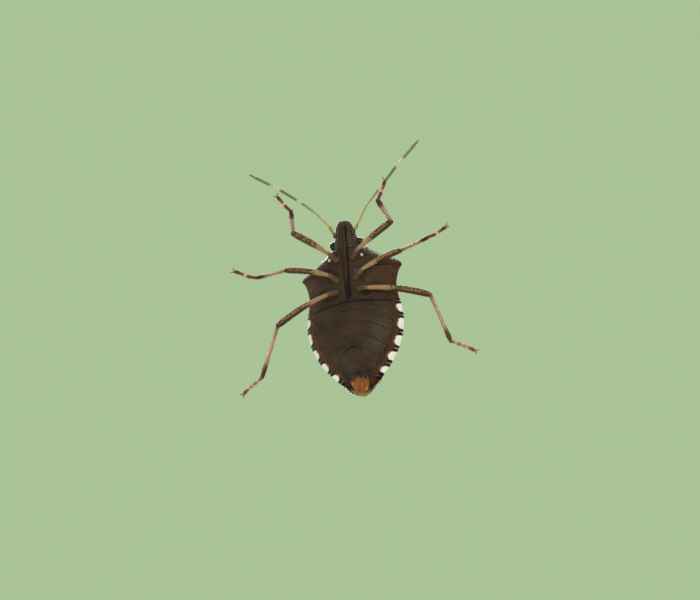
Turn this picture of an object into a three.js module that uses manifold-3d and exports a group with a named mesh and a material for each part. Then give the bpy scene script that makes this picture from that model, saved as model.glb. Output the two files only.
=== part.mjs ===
// A brown marmorated stink bug at life size, standing still on its six feet, in millimetres.
// +Z is up, the head points along -Y and the bug's own left side is +X.
import * as THREE from "three";
import { mergeVertices } from "three/addons/utils/BufferGeometryUtils.js";
import Module from "manifold-3d";

const wasm = await Module();
wasm.setup();

// Clearance between two nodes that touch on the real animal.
const gap = 0.25;
// Thinnest solid that a leg or feeler gets, except at its tip.
const thinnest = 0.5;

// Colours, roughness and names of the surfaces.
const finish = (color, roughness) =>
  new THREE.MeshStandardMaterial({ color, roughness, metalness: 0 });
const skinBrown = finish(0x5b4636, 0.55);
const bellyBrown = finish(0x473729, 0.45);
const legTan = finish(0xa9805f, 0.5);
const tarsusRed = finish(0x5c2a1a, 0.5);
const feelerOlive = finish(0x6f6c3c, 0.55);
const eyeBlack = finish(0x0d0b0a, 0.2);
const membraneSmoke = finish(0x8c7a58, 0.4);

const lerp = (a, b, t) => a + (b - a) * t;
const clamp01 = (t) => Math.min(1, Math.max(0, t));

// A smooth function through [position, value] pairs that never overshoots between two of them.
function profile(pairs) {
  const steps = pairs.slice(1).map(([at, value], i) => {
    return (value - pairs[i][1]) / (at - pairs[i][0]);
  });
  const slopes = pairs.map((_, i) => {
    if (i === 0 || i === steps.length) return steps[Math.min(i, steps.length - 1)];
    const [a, b] = [steps[i - 1], steps[i]];
    return a * b <= 0 ? 0 : (2 * a * b) / (a + b);
  });
  return (at) => {
    if (at <= pairs[0][0]) return pairs[0][1];
    if (at >= pairs.at(-1)[0]) return pairs.at(-1)[1];
    const i = pairs.findIndex(([end]) => end > at) - 1;
    const run = pairs[i + 1][0] - pairs[i][0];
    const t = (at - pairs[i][0]) / run;
    const bent = t * t * (3 - 2 * t);
    const lift = t * (1 - t) * (1 - t) * slopes[i] - t * t * (1 - t) * slopes[i + 1];
    return lerp(pairs[i][1], pairs[i + 1][1], bent) + lift * run;
  };
}

// Half width of the whole animal as seen from below, from the brow to the tip of the abdomen.
const halfWidth = profile([
  [-6.45, 1.72], [-6.0, 2.4], [-5.6, 3.15], [-5.2, 3.85], [-4.95, 4.2], [-4.75, 4.3], [-4.3, 4.07],
  [-3.6, 3.86], [-2.8, 3.76], [-1.85, 3.86], [-0.8, 4.05], [0.1, 4.13], [1.4, 3.95], [2.8, 3.45],
  [4.0, 2.72], [4.65, 2.2], [5.2, 1.65], [5.65, 1.1], [5.95, 0.55], [6.05, 0.2],
]);
// Height of the sharp side edge, of the back's middle line and of the belly's middle line.
const edgeHeight = profile([
  [-8.9, 2.95], [-6.45, 3.7], [-4.8, 4.2], [-3, 3.8], [-1, 3.5], [3, 3.4], [6.5, 3.35],
]);
const backHeight = profile([
  [-6.45, 4.5], [-5.5, 5.3], [-4.2, 6.05], [-3.3, 6.2], [-1, 6.1], [1, 5.7], [3, 5.05],
  [5, 4.4], [6.5, 3.95],
]);
const bellyHeight = profile([
  [-6.45, 2.15], [-5, 1.95], [-3, 1.75], [-1.6, 1.7], [-0.5, 1.5], [1, 1.4], [2.5, 1.5],
  [4, 1.95], [5.2, 2.55], [6.05, 3.1],
]);

// Where the segments part, along the middle line.
const shieldFront = -6.4;
const shieldRear = -3.5;
const thoraxRear = -1.6;
const abdomenTip = 6.05;
const wingTip = 6.5;

// The underside bulges between the legs and runs out flat to the side edge.
function bellyAt(x, y) {
  const across = Math.min(1, Math.abs(x) / halfWidth(y));
  const flat = lerp(0.95, 0.72, clamp01((y - thoraxRear) / 2));
  const bulge = Math.pow(1 - Math.pow(across, 1.9), flat);
  return edgeHeight(y) - (edgeHeight(y) - bellyHeight(y)) * bulge;
}

// The back of the shield behind the head.
function shieldTopAt(x, y) {
  const across = Math.min(1, Math.abs(x) / halfWidth(y));
  const rise = Math.pow(1 - Math.pow(across, 2.2), 0.8);
  return edgeHeight(y) + (backHeight(y) - edgeHeight(y)) * rise;
}

// The deck is the top of the thorax and abdomen, which the wings and scutellum lie over.
const wingThickness = thinnest;
const wingEdgeThickness = 0.3;
const rimStep = 0.1;
const wingWidth = profile([
  [-4.3, 3.9], [-3.6, 3.78], [-2.8, 3.68], [-1.8, 3.66], [-0.8, 3.62], [0.5, 3.52], [1.5, 3.3],
  [2.5, 2.98], [3.5, 2.62], [4.5, 2.2], [5.3, 1.72], [5.9, 1.2], [6.3, 0.72], [6.5, 0.3],
]);
function deckAt(x, y) {
  const [inner, outer] = [wingWidth(y), Math.max(halfWidth(y), wingWidth(y) + 0.05)];
  const edge = edgeHeight(y);
  const out = Math.abs(x);
  if (out >= inner) return edge + rimStep * (1 - Math.min(1, (out - inner) / (outer - inner)));
  const middle = backHeight(y) - wingThickness - gap;
  const rise = 1 - Math.pow(out / inner, 2.3);
  return edge + rimStep + Math.max(0, middle - edge - rimStep) * rise;
}
const coverBottomAt = (x, y) => deckAt(x, y) + gap;
function coverTopAt(x, y) {
  const across = Math.min(1, Math.abs(x) / wingWidth(y));
  return coverBottomAt(x, y) + lerp(wingThickness, wingEdgeThickness, across ** 4);
}

// A solid from a flat-triangle geometry; vertices closer than a thousandth become one.
function solid(geometry) {
  const bare = new THREE.BufferGeometry();
  bare.setAttribute("position", geometry.getAttribute("position"));
  if (geometry.index) bare.setIndex(geometry.index);
  const merged = mergeVertices(bare, 1e-3);
  const kept = [];
  for (let i = 0; i < merged.index.count; i += 3) {
    const [a, b, c] = [0, 1, 2].map((k) => merged.index.getX(i + k));
    if (a !== b && b !== c && c !== a) kept.push(a, b, c);
  }
  const made = new wasm.Manifold(
    new wasm.Mesh({
      numProp: 3,
      vertProperties: merged.getAttribute("position").array,
      triVerts: new Uint32Array(kept),
    }),
  );
  return made;
}

// The largest closed surface of a solid, as the geometry of a mesh.
function geometryOf(made) {
  const bodies = made.decompose();
  const largest = bodies.reduce((a, b) => (a.volume() > b.volume() ? a : b));
  const mesh = largest.getMesh();
  const geometry = new THREE.BufferGeometry();
  geometry.setAttribute("position", new THREE.BufferAttribute(mesh.vertProperties, 3));
  geometry.setIndex(new THREE.BufferAttribute(mesh.triVerts, 1));
  const flat = geometry.toNonIndexed();
  flat.computeVertexNormals();
  return flat;
}

// A solid between two height functions over a plan. plan(u, v) gives [x, y], us and vs the grid.
function slab({ plan, top, bottom, us, vs }) {
  const columns = us.length;
  const points = [];
  for (const height of [top, bottom])
    for (const v of vs)
      for (const u of us) {
        const [x, y] = plan(u, v);
        points.push(x, y, height(x, y, u, v));
      }
  const layer = columns * vs.length;
  const at = (side, row, column) => side * layer + row * columns + column;
  const faces = [];
  const quad = (a, b, c, d) => faces.push(a, b, c, a, c, d);
  for (let row = 0; row + 1 < vs.length; row++)
    for (let column = 0; column + 1 < columns; column++) {
      const corners = [[row, column], [row, column + 1], [row + 1, column + 1], [row + 1, column]];
      quad(...corners.map(([r, c]) => at(0, r, c)));
      quad(...corners.reverse().map(([r, c]) => at(1, r, c)));
    }
  const wall = (r0, c0, r1, c1) => quad(at(0, r0, c0), at(1, r0, c0), at(1, r1, c1), at(0, r1, c1));
  const [lastRow, lastColumn] = [vs.length - 1, columns - 1];
  for (let column = 0; column < lastColumn; column++) {
    wall(0, column, 0, column + 1);
    wall(lastRow, column + 1, lastRow, column);
  }
  for (let row = 0; row < lastRow; row++) {
    wall(row + 1, 0, row, 0);
    wall(row, lastColumn, row + 1, lastColumn);
  }
  const geometry = new THREE.BufferGeometry();
  geometry.setAttribute("position", new THREE.Float32BufferAttribute(points, 3));
  geometry.setIndex(faces);
  return solid(geometry);
}

// Even steps from a to b, and steps across a width that crowd towards both edges.
const even = (a, b, count) => Array.from({ length: count + 1 }, (_, i) => lerp(a, b, i / count));
const crowded = (count) => even(-1, 1, count).map((t) => Math.sin((t * Math.PI) / 2));

// A tube through a list of points, with a radius at each.
function tube(points, radii, sides = 8) {
  const path = points.map((p) => new THREE.Vector3(...p));
  const up = new THREE.Vector3(0, 0, 1);
  const positions = [];
  path.forEach((centre, i) => {
    const before = path[Math.max(0, i - 1)];
    const after = path[Math.min(path.length - 1, i + 1)];
    const ahead = after.clone().sub(before).normalize();
    const side = new THREE.Vector3().crossVectors(ahead, up).normalize();
    const over = new THREE.Vector3().crossVectors(side, ahead);
    for (let k = 0; k < sides; k++) {
      const turn = ((k + 0.5) / sides) * 2 * Math.PI;
      const spot = centre.clone()
        .addScaledVector(side, radii[i] * Math.cos(turn))
        .addScaledVector(over, radii[i] * Math.sin(turn));
      positions.push(spot.x, spot.y, spot.z);
    }
  });
  const first = positions.length / 3;
  positions.push(...path[0].toArray(), ...path.at(-1).toArray());
  const faces = [];
  for (let i = 0; i < path.length; i++)
    for (let k = 0; k < sides; k++) {
      const [a, b] = [i * sides + k, i * sides + ((k + 1) % sides)];
      if (i === 0) faces.push(first, b, a);
      if (i === path.length - 1) faces.push(first + 1, a, b);
      else faces.push(a, b, b + sides, a, b + sides, a + sides);
    }
  const geometry = new THREE.BufferGeometry();
  geometry.setAttribute("position", new THREE.Float32BufferAttribute(positions, 3));
  geometry.setIndex(faces);
  const made = solid(geometry);
  return made.volume() < 0 ? solid(geometry.setIndex(faces.reverse())) : made;
}

const block = (x0, x1, y0, y1, z0, z1) =>
  solid(
    new THREE.BoxGeometry(x1 - x0, y1 - y0, z1 - z0)
      .translate((x0 + x1) / 2, (y0 + y1) / 2, (z0 + z1) / 2),
  );
const ball = (centre, radii, detail = 12) =>
  solid(
    new THREE.SphereGeometry(1, detail, Math.round(detail * 0.7))
      .scale(...radii)
      .translate(...centre),
  );

const bug = new THREE.Group();
function add(name, made, material) {
  const mesh = new THREE.Mesh(geometryOf(made), material);
  mesh.name = name;
  bug.add(mesh);
}
const sides = [["left", 1], ["right", -1]];
const mirrored = (side, [x, y, z]) => [side * x, y, z];

// Head

const browTip = -8.9;
const neck = shieldFront - gap + 0.1;
const headWidth = profile([
  [-8.9, 0.4], [-8.75, 0.6], [-8.4, 0.76], [-7.9, 0.86], [-7.4, 1.0], [-7.0, 1.12], [-6.5, 1.15],
  [-6.0, 1.1],
]);
const headTop = profile([[-8.9, 3.1], [-8.4, 3.45], [-7.5, 3.95], [-6.4, 4.35], [-6, 4.45]]);
const headUnder = profile([[-8.9, 2.75], [-8.5, 2.5], [-7.5, 2.25], [-6.4, 2.15], [-6, 2.15]]);
function headSurface(height, power) {
  return (x, y) => {
    const across = Math.min(1, Math.abs(x) / headWidth(y));
    const edge = edgeHeight(y);
    return edge + (height(y) - edge) * Math.pow(1 - Math.pow(across, power), 0.6);
  };
}
const eyeCentre = [1.02, -7.05, 3.4];
const eyeRadii = [0.46, 0.4, 0.42];
const eyeSocket = 0.86;

// Beak

const beakRadius = 0.26;
const beakPath = [
  [0, -8.35, 2.4], [0, -7.6, 2.12], [0, -6.6, 1.98], [0, -5.4, 1.85], [0, -4, 1.7], [0, -2.6, 1.6],
  [0, -1.75, 1.6],
];
const beakRadii = [0.26, 0.26, 0.26, 0.26, 0.25, 0.25, 0.12];
const beakGroove = tube(beakPath, beakRadii.map(() => beakRadius + gap), 8);

const head = slab({
  plan: (u, v) => {
    const y = lerp(browTip, neck + 0.2 * (1 - u * u), v);
    return [u * headWidth(y), y];
  },
  top: headSurface(headTop, 2.4),
  bottom: headSurface(headUnder, 2.2),
  us: crowded(12),
  vs: even(0, 1, 12).map((t) => t ** 1.3),
});
const socket = (side) =>
  block(...[side * eyeSocket, side * 2].sort((a, b) => a - b), -7.55, -6.5, 2, 5);
const feelerRoot = (side) =>
  ball(mirrored(side, [0.84, -7.72, 2.72]), [0.26, 0.3, 0.24], 8);
add(
  "head",
  head
    .add(feelerRoot(1))
    .add(feelerRoot(-1))
    .subtract(socket(1))
    .subtract(socket(-1))
    .subtract(beakGroove),
  skinBrown,
);
for (const [name, side] of sides) {
  const cut = side * (eyeSocket + gap);
  const outside = block(...[cut, side * 3].sort((a, b) => a - b), -9, -5, 0, 6);
  add("eye_" + name, ball(mirrored(side, eyeCentre), eyeRadii, 16).intersect(outside), eyeBlack);
}
add("beak", tube(beakPath, beakRadii, 8), bellyBrown);

// Legs

// Each leg from its root to its claws, on its own side: hip, trochanter, knee, ankle, two bends of
// the foot and the claws. Left is the bug's own left.
const footHeight = 0.22;
const ankleHeight = 0.42;
const legs = {
  front_left: {
    hip: [0.72, -5.2, 1.75], trochanter: [1.25, -5.8, 1.72], knee: [3.98, -8.3, 3.3],
    ankle: [3.65, -9.13], foot: [[3.95, -9.55], [4.35, -10.35]], claw: [4.5, -10.85],
  },
  front_right: {
    hip: [-0.72, -5.2, 1.75], trochanter: [-1.25, -5.8, 1.72], knee: [-4.46, -8.88, 3.3],
    ankle: [-3.77, -9.62], foot: [[-4.15, -10.1], [-4.55, -10.75]], claw: [-4.85, -11.2],
  },
  middle_left: {
    hip: [0.8, -3.35, 1.66], trochanter: [1.42, -3.9, 1.66], knee: [4.5, -5.57, 3.3],
    ankle: [7.48, -5.06], foot: [[8.1, -5.15], [8.75, -5.45]], claw: [9.25, -5.7],
  },
  middle_right: {
    hip: [-0.8, -3.35, 1.66], trochanter: [-1.42, -3.9, 1.66], knee: [-5.4, -5.7, 3.3],
    ankle: [-7.26, -4.33], foot: [[-7.85, -4.5], [-8.6, -4.95]], claw: [-9.2, -5.3],
  },
  hind_left: {
    hip: [1.0, -2.3, 1.6], trochanter: [1.75, -2.2, 1.62], knee: [6.5, -1.33, 3.6],
    ankle: [8.34, 4.23], foot: [[8.95, 4.6], [9.85, 5.15]], claw: [10.45, 5.6],
  },
  hind_right: {
    hip: [-1.0, -2.3, 1.6], trochanter: [-1.75, -2.2, 1.62], knee: [-6.65, -1.05, 3.6],
    ankle: [-7.62, 4.43], foot: [[-8.2, 4.85], [-8.9, 5.3]], claw: [-9.4, 5.75],
  },
};
const hipRadius = 0.4;
const femurRadii = {
  front: [0.25, 0.28, 0.29, 0.28, 0.27],
  middle: [0.25, 0.29, 0.3, 0.3, 0.28],
  hind: [0.25, 0.3, 0.32, 0.32, 0.29],
};
const tibiaRadius = thinnest / 2;
// How far the middle of each thigh bows forward from the straight line.
const femurBow = { front: 0.08, middle: 0.16, hind: 0.25 };

// A point so far along the straight line from a to b, and one so many millimetres short of b.
const along = (a, b, t) => a.map((value, i) => lerp(value, b[i], t));
const length = (a, b) => Math.hypot(...a.map((value, i) => b[i] - value));
const short = (a, b, distance) => along(a, b, 1 - distance / length(a, b));

const floorTrim = block(-20, 20, -20, 20, 0, 12);
let hips = null;

// Trims a piece at a joint, half a gap short of the plane that halves the bend there.
function mitre(made, before, joint, after, keepBefore) {
  const direction = (a, b) => a.map((value, i) => (b[i] - value) / length(a, b));
  const sum = direction(before, joint).map((value, i) => value + direction(joint, after)[i]);
  const size = Math.hypot(...sum);
  const normal = sum.map((value) => value / size);
  const level = normal.reduce((total, value, i) => total + value * joint[i], 0);
  return keepBefore
    ? made.trimByPlane(normal.map((value) => -value), -level + gap / 2)
    : made.trimByPlane(normal, level + gap / 2);
}

function legNodes(name, leg) {
  const pair = name.split("_")[0];
  const { hip, trochanter, knee } = leg;
  const ankle = [...leg.ankle, ankleHeight];
  const bends = leg.foot.map((p) => [...p, footHeight]);
  const claw = [...leg.claw, footHeight - 0.03];
  const past = 0.35;

  const coxa = tube(
    [hip, along(hip, trochanter, 0.55), short(hip, trochanter, -past)],
    [hipRadius, hipRadius * 0.92, 0.26],
    8,
  );
  const room = tube(
    [short(trochanter, hip, -0.3), hip, short(hip, trochanter, -0.4)],
    [hipRadius + gap, hipRadius + gap, hipRadius + 0.12],
    8,
  );
  hips = hips ? hips.add(room) : room;
  add(name + "_coxa", mitre(coxa, hip, trochanter, knee, true), legTan);

  const femurEnds = [short(knee, trochanter, -past), short(trochanter, knee, -past)];
  const bowed = (t) => {
    const [x, y, z] = along(...femurEnds, t);
    return [x, y - 4 * t * (1 - t) * femurBow[pair], z];
  };
  const femur = tube([0, 0.25, 0.5, 0.75, 1].map(bowed), femurRadii[pair], 10);
  const femurCut = mitre(femur, hip, trochanter, knee, false);
  add(name + "_femur", mitre(femurCut, trochanter, knee, ankle, true), legTan);

  const tibiaEnds = [short(ankle, knee, -past), short(knee, ankle, -past)];
  const tibia = tube(tibiaEnds, [tibiaRadius, tibiaRadius], 8);
  const tibiaCut = mitre(tibia, trochanter, knee, ankle, false);
  const tibiaClear = mitre(tibiaCut, knee, ankle, bends[0], true).intersect(floorTrim);
  add(name + "_tibia", tibiaClear, legTan);

  const reach = length(bends[1], claw);
  const ahead = along(bends[1], claw, 1 + 0.28 / reach);
  const across = [(claw[1] - bends[1][1]) / reach, (bends[1][0] - claw[0]) / reach];
  const hook = (turn) =>
    tube(
      [
        along(bends[1], claw, 0.8),
        along(claw, ahead, 0.3).map((value, i) => value + (i < 2 ? turn * 0.14 * across[i] : 0)),
        ahead.map((value, i) => value + (i < 2 ? turn * 0.26 * across[i] : -0.08)),
      ],
      [0.16, 0.12, 0.05],
      6,
    );
  const footStart = short(bends[0], ankle, -past);
  const foot = mitre(
    tube([footStart, ...bends, claw], [0.25, 0.25, 0.25, 0.2], 8),
    knee, ankle, bends[0], false,
  )
    .add(hook(1))
    .add(hook(-1))
    .intersect(floorTrim);
  add(name + "_tarsus", foot, tarsusRed);
}
for (const [name, leg] of Object.entries(legs)) legNodes(name, leg);

// Feelers: the ends of the five segments, from the root on the head to the tip.
const feelers = {
  left: [
    [0.98, -7.95, 2.72], [1.2, -8.38, 2.8], [2.1, -10.08, 3.1], [3.3, -11.35, 3.2],
    [5.12, -13.25, 3.2], [7.1, -14.95, 3.1],
  ],
  right: [
    [-0.92, -7.95, 2.72], [-1.16, -8.6, 2.8], [-2.22, -10.14, 3.1], [-3.5, -11.45, 3.2],
    [-5.35, -13.1, 3.2], [-7.65, -14.8, 3.1],
  ],
};
for (const [name, joints] of Object.entries(feelers))
  joints.slice(1).forEach((joint, i) => {
    const start = i ? short(joint, joints[i], gap / 2) : joints[0];
    const last = i === joints.length - 2;
    const end = last ? joint : short(joints[i], joint, gap / 2);
    const radii = [0.25, 0.25, last ? 0.1 : 0.25];
    add(
      "antenna_" + name + "_" + (i + 1),
      tube([start, along(start, end, last ? 0.8 : 0.5), end], radii, 8),
      feelerOlive,
    );
  });

// Shield behind the head, with the sides and underside of the first segment of the thorax.
const shieldFrontAt = (u) => shieldFront - 0.1 + 0.35 * (1 - u * u);
const shieldRearAt = (u) => shieldRear - 1.1 * Math.abs(u) ** 4;
function segmentPlan(frontAt, rearAt) {
  return (u, v) => {
    const side = lerp(frontAt(1), rearAt(1), v);
    return [u * halfWidth(side), lerp(frontAt(u), rearAt(u), v)];
  };
}
const shield = slab({
  plan: segmentPlan(shieldFrontAt, shieldRearAt),
  top: shieldTopAt,
  bottom: bellyAt,
  us: crowded(20),
  vs: even(0, 1, 10),
});
add("prothorax", shield.subtract(beakGroove).subtract(hips), skinBrown);

const thorax = slab({
  plan: segmentPlan((u) => shieldRearAt(u) + gap, () => thoraxRear),
  top: deckAt,
  bottom: bellyAt,
  us: crowded(20),
  vs: even(0, 1, 8),
});
add("thorax", thorax.subtract(beakGroove).subtract(hips), bellyBrown);

// Abdomen: five broad segments, whose sutures are shallow grooves that end in a notch at the side.
const sutures = [-1.25, 0.1, 1.62, 2.96, 4.13, 5.08];
const sutureWidth = 0.09;
const sutureDepth = 0.05;
const notchDepth = 0.07;
const nearSuture = (y) => Math.max(...sutures.map((at) => 1 - Math.abs(y - at) / sutureWidth), 0);
const abdomenFront = thoraxRear + gap;
const abdomenRows = [
  ...even(abdomenFront, abdomenTip, 20),
  ...sutures.flatMap((at) => (at > abdomenFront + 0.1 ? [at - sutureWidth, at, at + sutureWidth] : [])),
].sort((a, b) => a - b)
  .filter((y, i, all) => i === 0 || y - all[i - 1] > 0.04)
  .map((y) => (y - abdomenFront) / (abdomenTip - abdomenFront));
const abdomen = slab({
  plan: (u, v) => {
    const y = lerp(abdomenFront, abdomenTip, v);
    return [u * (halfWidth(y) - notchDepth * nearSuture(y)), y];
  },
  top: (x, y) => Math.min(deckAt(x, y), edgeHeight(y) + 2.4),
  bottom: (x, y) => Math.min(bellyAt(x, y) + sutureDepth * nearSuture(y), edgeHeight(y)),
  us: crowded(24),
  vs: abdomenRows,
});
add("abdomen", abdomen.subtract(beakGroove), bellyBrown);

// Scutellum: the long triangle between the wings.
const scutellumTip = 1.3;
const scutellumWidth = profile([
  [-3.3, 2.4], [-2, 1.78], [-1, 1.32], [0, 1.0], [0.8, 0.7], [1.15, 0.42], [1.3, 0.16],
]);
const scutellumFront = (x) => shieldRearAt(x / 4.3) + gap;
add(
  "scutellum",
  slab({
    plan: (u, v) => {
      const y = lerp(scutellumFront(u * 2.4), scutellumTip, v);
      return [u * scutellumWidth(y), y];
    },
    top: (x, y) => coverTopAt(x, y) + 0.04,
    bottom: coverBottomAt,
    us: crowded(12),
    vs: even(0, 1, 10),
  }),
  skinBrown,
);

// Leathery part of each forewing, from the shield back to a slanting rear edge.
const coriumInnerRear = 0.95;
const coriumOuterRear = 2.65;
for (const [name, side] of sides)
  add(
    "forewing_" + name,
    slab({
      plan: (u, v) => {
        const front = scutellumFront(lerp(2.6, 3.9, u));
        const y = lerp(front, lerp(coriumInnerRear, coriumOuterRear, u), v);
        const out = lerp(scutellumWidth(y) + gap, wingWidth(y), u);
        return [side * out, y];
      },
      top: coverTopAt,
      bottom: coverBottomAt,
      us: side > 0 ? even(0, 1, 10) : even(1, 0, 10),
      vs: even(0, 1, 14),
    }),
    skinBrown,
  );

// Wing membranes, one over the other, with the veins raised in their surface.
const veinHeight = 0.12;
const veinWidth = 0.035;
const veins = [-0.78, -0.52, -0.27, 0.06, 0.33, 0.58, 0.82];
function membraneFront(x) {
  const out = Math.abs(x);
  const inner = 0.9;
  if (out < inner) return scutellumTip + gap - 0.35 * (out / inner) ** 2;
  const slope = (coriumOuterRear - coriumInnerRear) / (wingWidth(2.65) - inner);
  return scutellumTip + gap - 0.35 + slope * (out - inner);
}
add(
  "wing_membranes",
  slab({
    plan: (u, v) => {
      const front = membraneFront(u * wingWidth(coriumOuterRear));
      const y = lerp(front, wingTip, v);
      const spread = lerp(wingWidth(Math.max(y, coriumOuterRear)), wingWidth(y), v);
      return [u * spread, y];
    },
    top: (x, y, u) => {
      const ridge = Math.max(...veins.map((at) => 1 - Math.abs(u - at) / veinWidth), 0);
      return coverTopAt(x, y) + (ridge > 0.5 ? veinHeight : 0) - 0.04;
    },
    bottom: coverBottomAt,
    us: [
      ...even(-1, 1, 10),
      ...veins.flatMap((at) => [at - veinWidth, at, at + veinWidth]),
    ].sort((a, b) => a - b).filter((u, i, all) => i === 0 || u - all[i - 1] > 0.02),
    vs: even(0, 1, 12),
  }),
  membraneSmoke,
);

// The origin lies under the middle of the bounding box, at the level of the feet.
const box = new THREE.Box3().setFromObject(bug);
const centre = box.getCenter(new THREE.Vector3());
const stand = new THREE.Group();
bug.position.set(-centre.x, -centre.y, -box.min.z);
stand.add(bug);

export default stand;
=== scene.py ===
# %% [markdown]
# # A brown shield bug, seen from below
#
# This scene dresses the solids of a life-size shield bug. The solids set every place and size, and
# the scene adds what a solid can't hold: true thin legs, pitted skin, a banded edge, bristles and
# film wings. Everything is worked out in millimetres in the bug's own frame and turned into metres last.

# %% Load the fixed frame
import math
import random

import bmesh
import bpy
import numpy as np
from mathutils import Matrix, Vector


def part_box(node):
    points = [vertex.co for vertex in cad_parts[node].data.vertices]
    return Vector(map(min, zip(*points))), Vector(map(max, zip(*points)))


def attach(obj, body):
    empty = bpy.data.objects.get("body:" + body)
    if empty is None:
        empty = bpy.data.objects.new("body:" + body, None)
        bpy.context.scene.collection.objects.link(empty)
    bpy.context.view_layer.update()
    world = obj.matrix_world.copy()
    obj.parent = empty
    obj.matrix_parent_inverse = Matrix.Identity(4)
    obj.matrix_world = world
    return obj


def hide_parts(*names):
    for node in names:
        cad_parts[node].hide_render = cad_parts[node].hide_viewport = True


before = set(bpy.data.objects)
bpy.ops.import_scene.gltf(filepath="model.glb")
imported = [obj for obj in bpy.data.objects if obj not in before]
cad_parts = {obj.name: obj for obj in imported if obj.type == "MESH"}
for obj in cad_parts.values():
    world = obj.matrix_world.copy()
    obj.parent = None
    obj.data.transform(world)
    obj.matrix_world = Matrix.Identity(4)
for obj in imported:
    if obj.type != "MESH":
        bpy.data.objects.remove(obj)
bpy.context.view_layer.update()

# %% [markdown]
# ## Where the bug stands
#
# The bug's middle line is x = 0, its head points along -Y and the tip of its abdomen is at a known
# place along y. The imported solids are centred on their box, so one look at the abdomen's box tells how
# far the bug's own frame was moved.

# %% The bug's own frame, in millimetres
MM = 0.001
ABDOMEN_TIP = 6.05
abdomen_low, abdomen_high = (np.array(corner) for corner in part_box("abdomen"))
SHIFT = np.array([
    (abdomen_low[0] + abdomen_high[0]) / 2 / MM,
    abdomen_high[1] / MM - ABDOMEN_TIP,
    0.0,
])
print("shift of the bug's frame, mm:", np.round(SHIFT, 3))


def to_scene(points):
    """Millimetres in the bug's frame to metres in the scene."""
    return (np.asarray(points, float) + SHIFT) * MM

# %% [markdown]
# ## The camera comes first
#
# The bug stands on a clear pane and the picture is taken through it, so the camera sits under the
# pane and looks up. A fit of the picture's left and right pairs of marks gave the view: tilted 11
# degrees towards the bug's own left, 21 degrees towards its tail, and rolled by 6 degrees.

# %% Camera
TILT_TO_SIDE = math.radians(11.2)
TILT_TO_TAIL = math.radians(20.7)
ROLL = math.radians(6.2)
DISTANCE = 255.4
PICTURE_WIDTH = 700
SENSOR = 36.0
# The point of the pane in the middle of the picture, in the bug's frame.
AIM = Vector((0.48, -0.77, 0.0))
# A millimetre this far from the camera spans this many pixels of the picture.
PIXELS_PER_MM = 12.0
SCALE_DISTANCE = 260.0


def camera_axes():
    """Right, up and forward of the picture, in the bug's frame."""
    sideways, tailwards = -math.sin(TILT_TO_SIDE), -math.sin(TILT_TO_TAIL)
    upward = math.sqrt(1 - sideways**2 - tailwards**2)
    forward = Vector((sideways, tailwards, upward))
    head = Vector((0, -1, 0))
    up = (head - head.project(forward)).normalized()
    up = Matrix.Rotation(ROLL, 3, forward) @ up
    return forward.cross(up), up, forward


def add_object(name, data):
    made = bpy.data.objects.new(name, data)
    bpy.context.collection.objects.link(made)
    return made


right, up, forward = camera_axes()
camera_data = bpy.data.cameras.new("camera")
camera_data.lens = PIXELS_PER_MM * SCALE_DISTANCE * SENSOR / PICTURE_WIDTH
camera_data.sensor_width = SENSOR
camera_data.clip_start = 0.001
camera = add_object("camera", camera_data)
turn = Matrix((right, up, -forward)).transposed().to_4x4()
eye_point = Vector(to_scene(AIM - forward * DISTANCE))
camera.matrix_world = Matrix.Translation(eye_point) @ turn
bpy.context.scene.camera = camera
print("lens:", round(camera_data.lens, 1), "camera at", tuple(round(v, 4) for v in eye_point))

# %% [markdown]
# ## Pane, floor and light
#
# A pane that the bug stands on would hide it from a camera below. So the sheet at foot level is a plain
# floor from above, and from below its back faces are clear. A second plain floor lies under the camera.
# The sheet could be one-way by its material or be left out for a picture from below. The material
# is the simpler of the two, as the scene is then the same from every side.

# %% Sheets and nodes
PANE_SIZE = 0.6
PANE_TONE = (0.46, 0.48, 0.43, 1)
FLOOR_SIZE = 3.0
FLOOR_LEVEL = -0.32
FLOOR_TONE = (0.7, 0.74, 0.66, 1)


def plain_sheet(name, size, z, material):
    bpy.ops.mesh.primitive_plane_add(size=size, location=(0, 0, z))
    sheet = bpy.context.object
    sheet.name = name
    sheet.data.materials.append(material)
    return sheet


def new_material(name):
    made = bpy.data.materials.new(name)
    made.use_nodes = True
    made.node_tree.nodes.clear()
    return made, made.node_tree


def add_node(tree, kind, **settings):
    """A node with its properties and unlinked inputs set by name or number."""
    made = tree.nodes.new(kind)
    for key, value in settings.items():
        if hasattr(made, key):
            setattr(made, key, value)
        else:
            made.inputs[key.replace("_", " ")].default_value = value
    return made


def link(tree, out, into):
    tree.links.new(out, into)


def choose_shader(tree, chooser, if_no, if_yes, out_kind):
    """One shader or the other, as a value says, and on to the output."""
    choice = add_node(tree, "ShaderNodeMixShader")
    out = add_node(tree, out_kind)
    link(tree, chooser, choice.inputs[0])
    link(tree, if_no.outputs[0], choice.inputs[1])
    link(tree, if_yes.outputs[0], choice.inputs[2])
    link(tree, choice.outputs[0], out.inputs["Surface"])


print("the sheets are", PANE_SIZE, "and", FLOOR_SIZE, "m wide")

# %% [markdown]
# ### The two sheets
#
# The pane mixes a plain grey and a clear shader by the side of the sheet that is seen. It casts no
# shadow and takes no part in reflected light, so light from below reaches the belly through it.

# %% Pane and lower floor
pane_material, tree = new_material("pane_floor")
pane_side = add_node(tree, "ShaderNodeNewGeometry").outputs["Backfacing"]
pane_plain = add_node(tree, "ShaderNodeBsdfDiffuse", Color=PANE_TONE)
pane_clear = add_node(tree, "ShaderNodeBsdfTransparent")
choose_shader(tree, pane_side, pane_plain, pane_clear, "ShaderNodeOutputMaterial")
pane = plain_sheet("pane", PANE_SIZE, 0, pane_material)
pane.visible_diffuse = False
pane.visible_glossy = False
pane.visible_transmission = False
pane.visible_shadow = False

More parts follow.
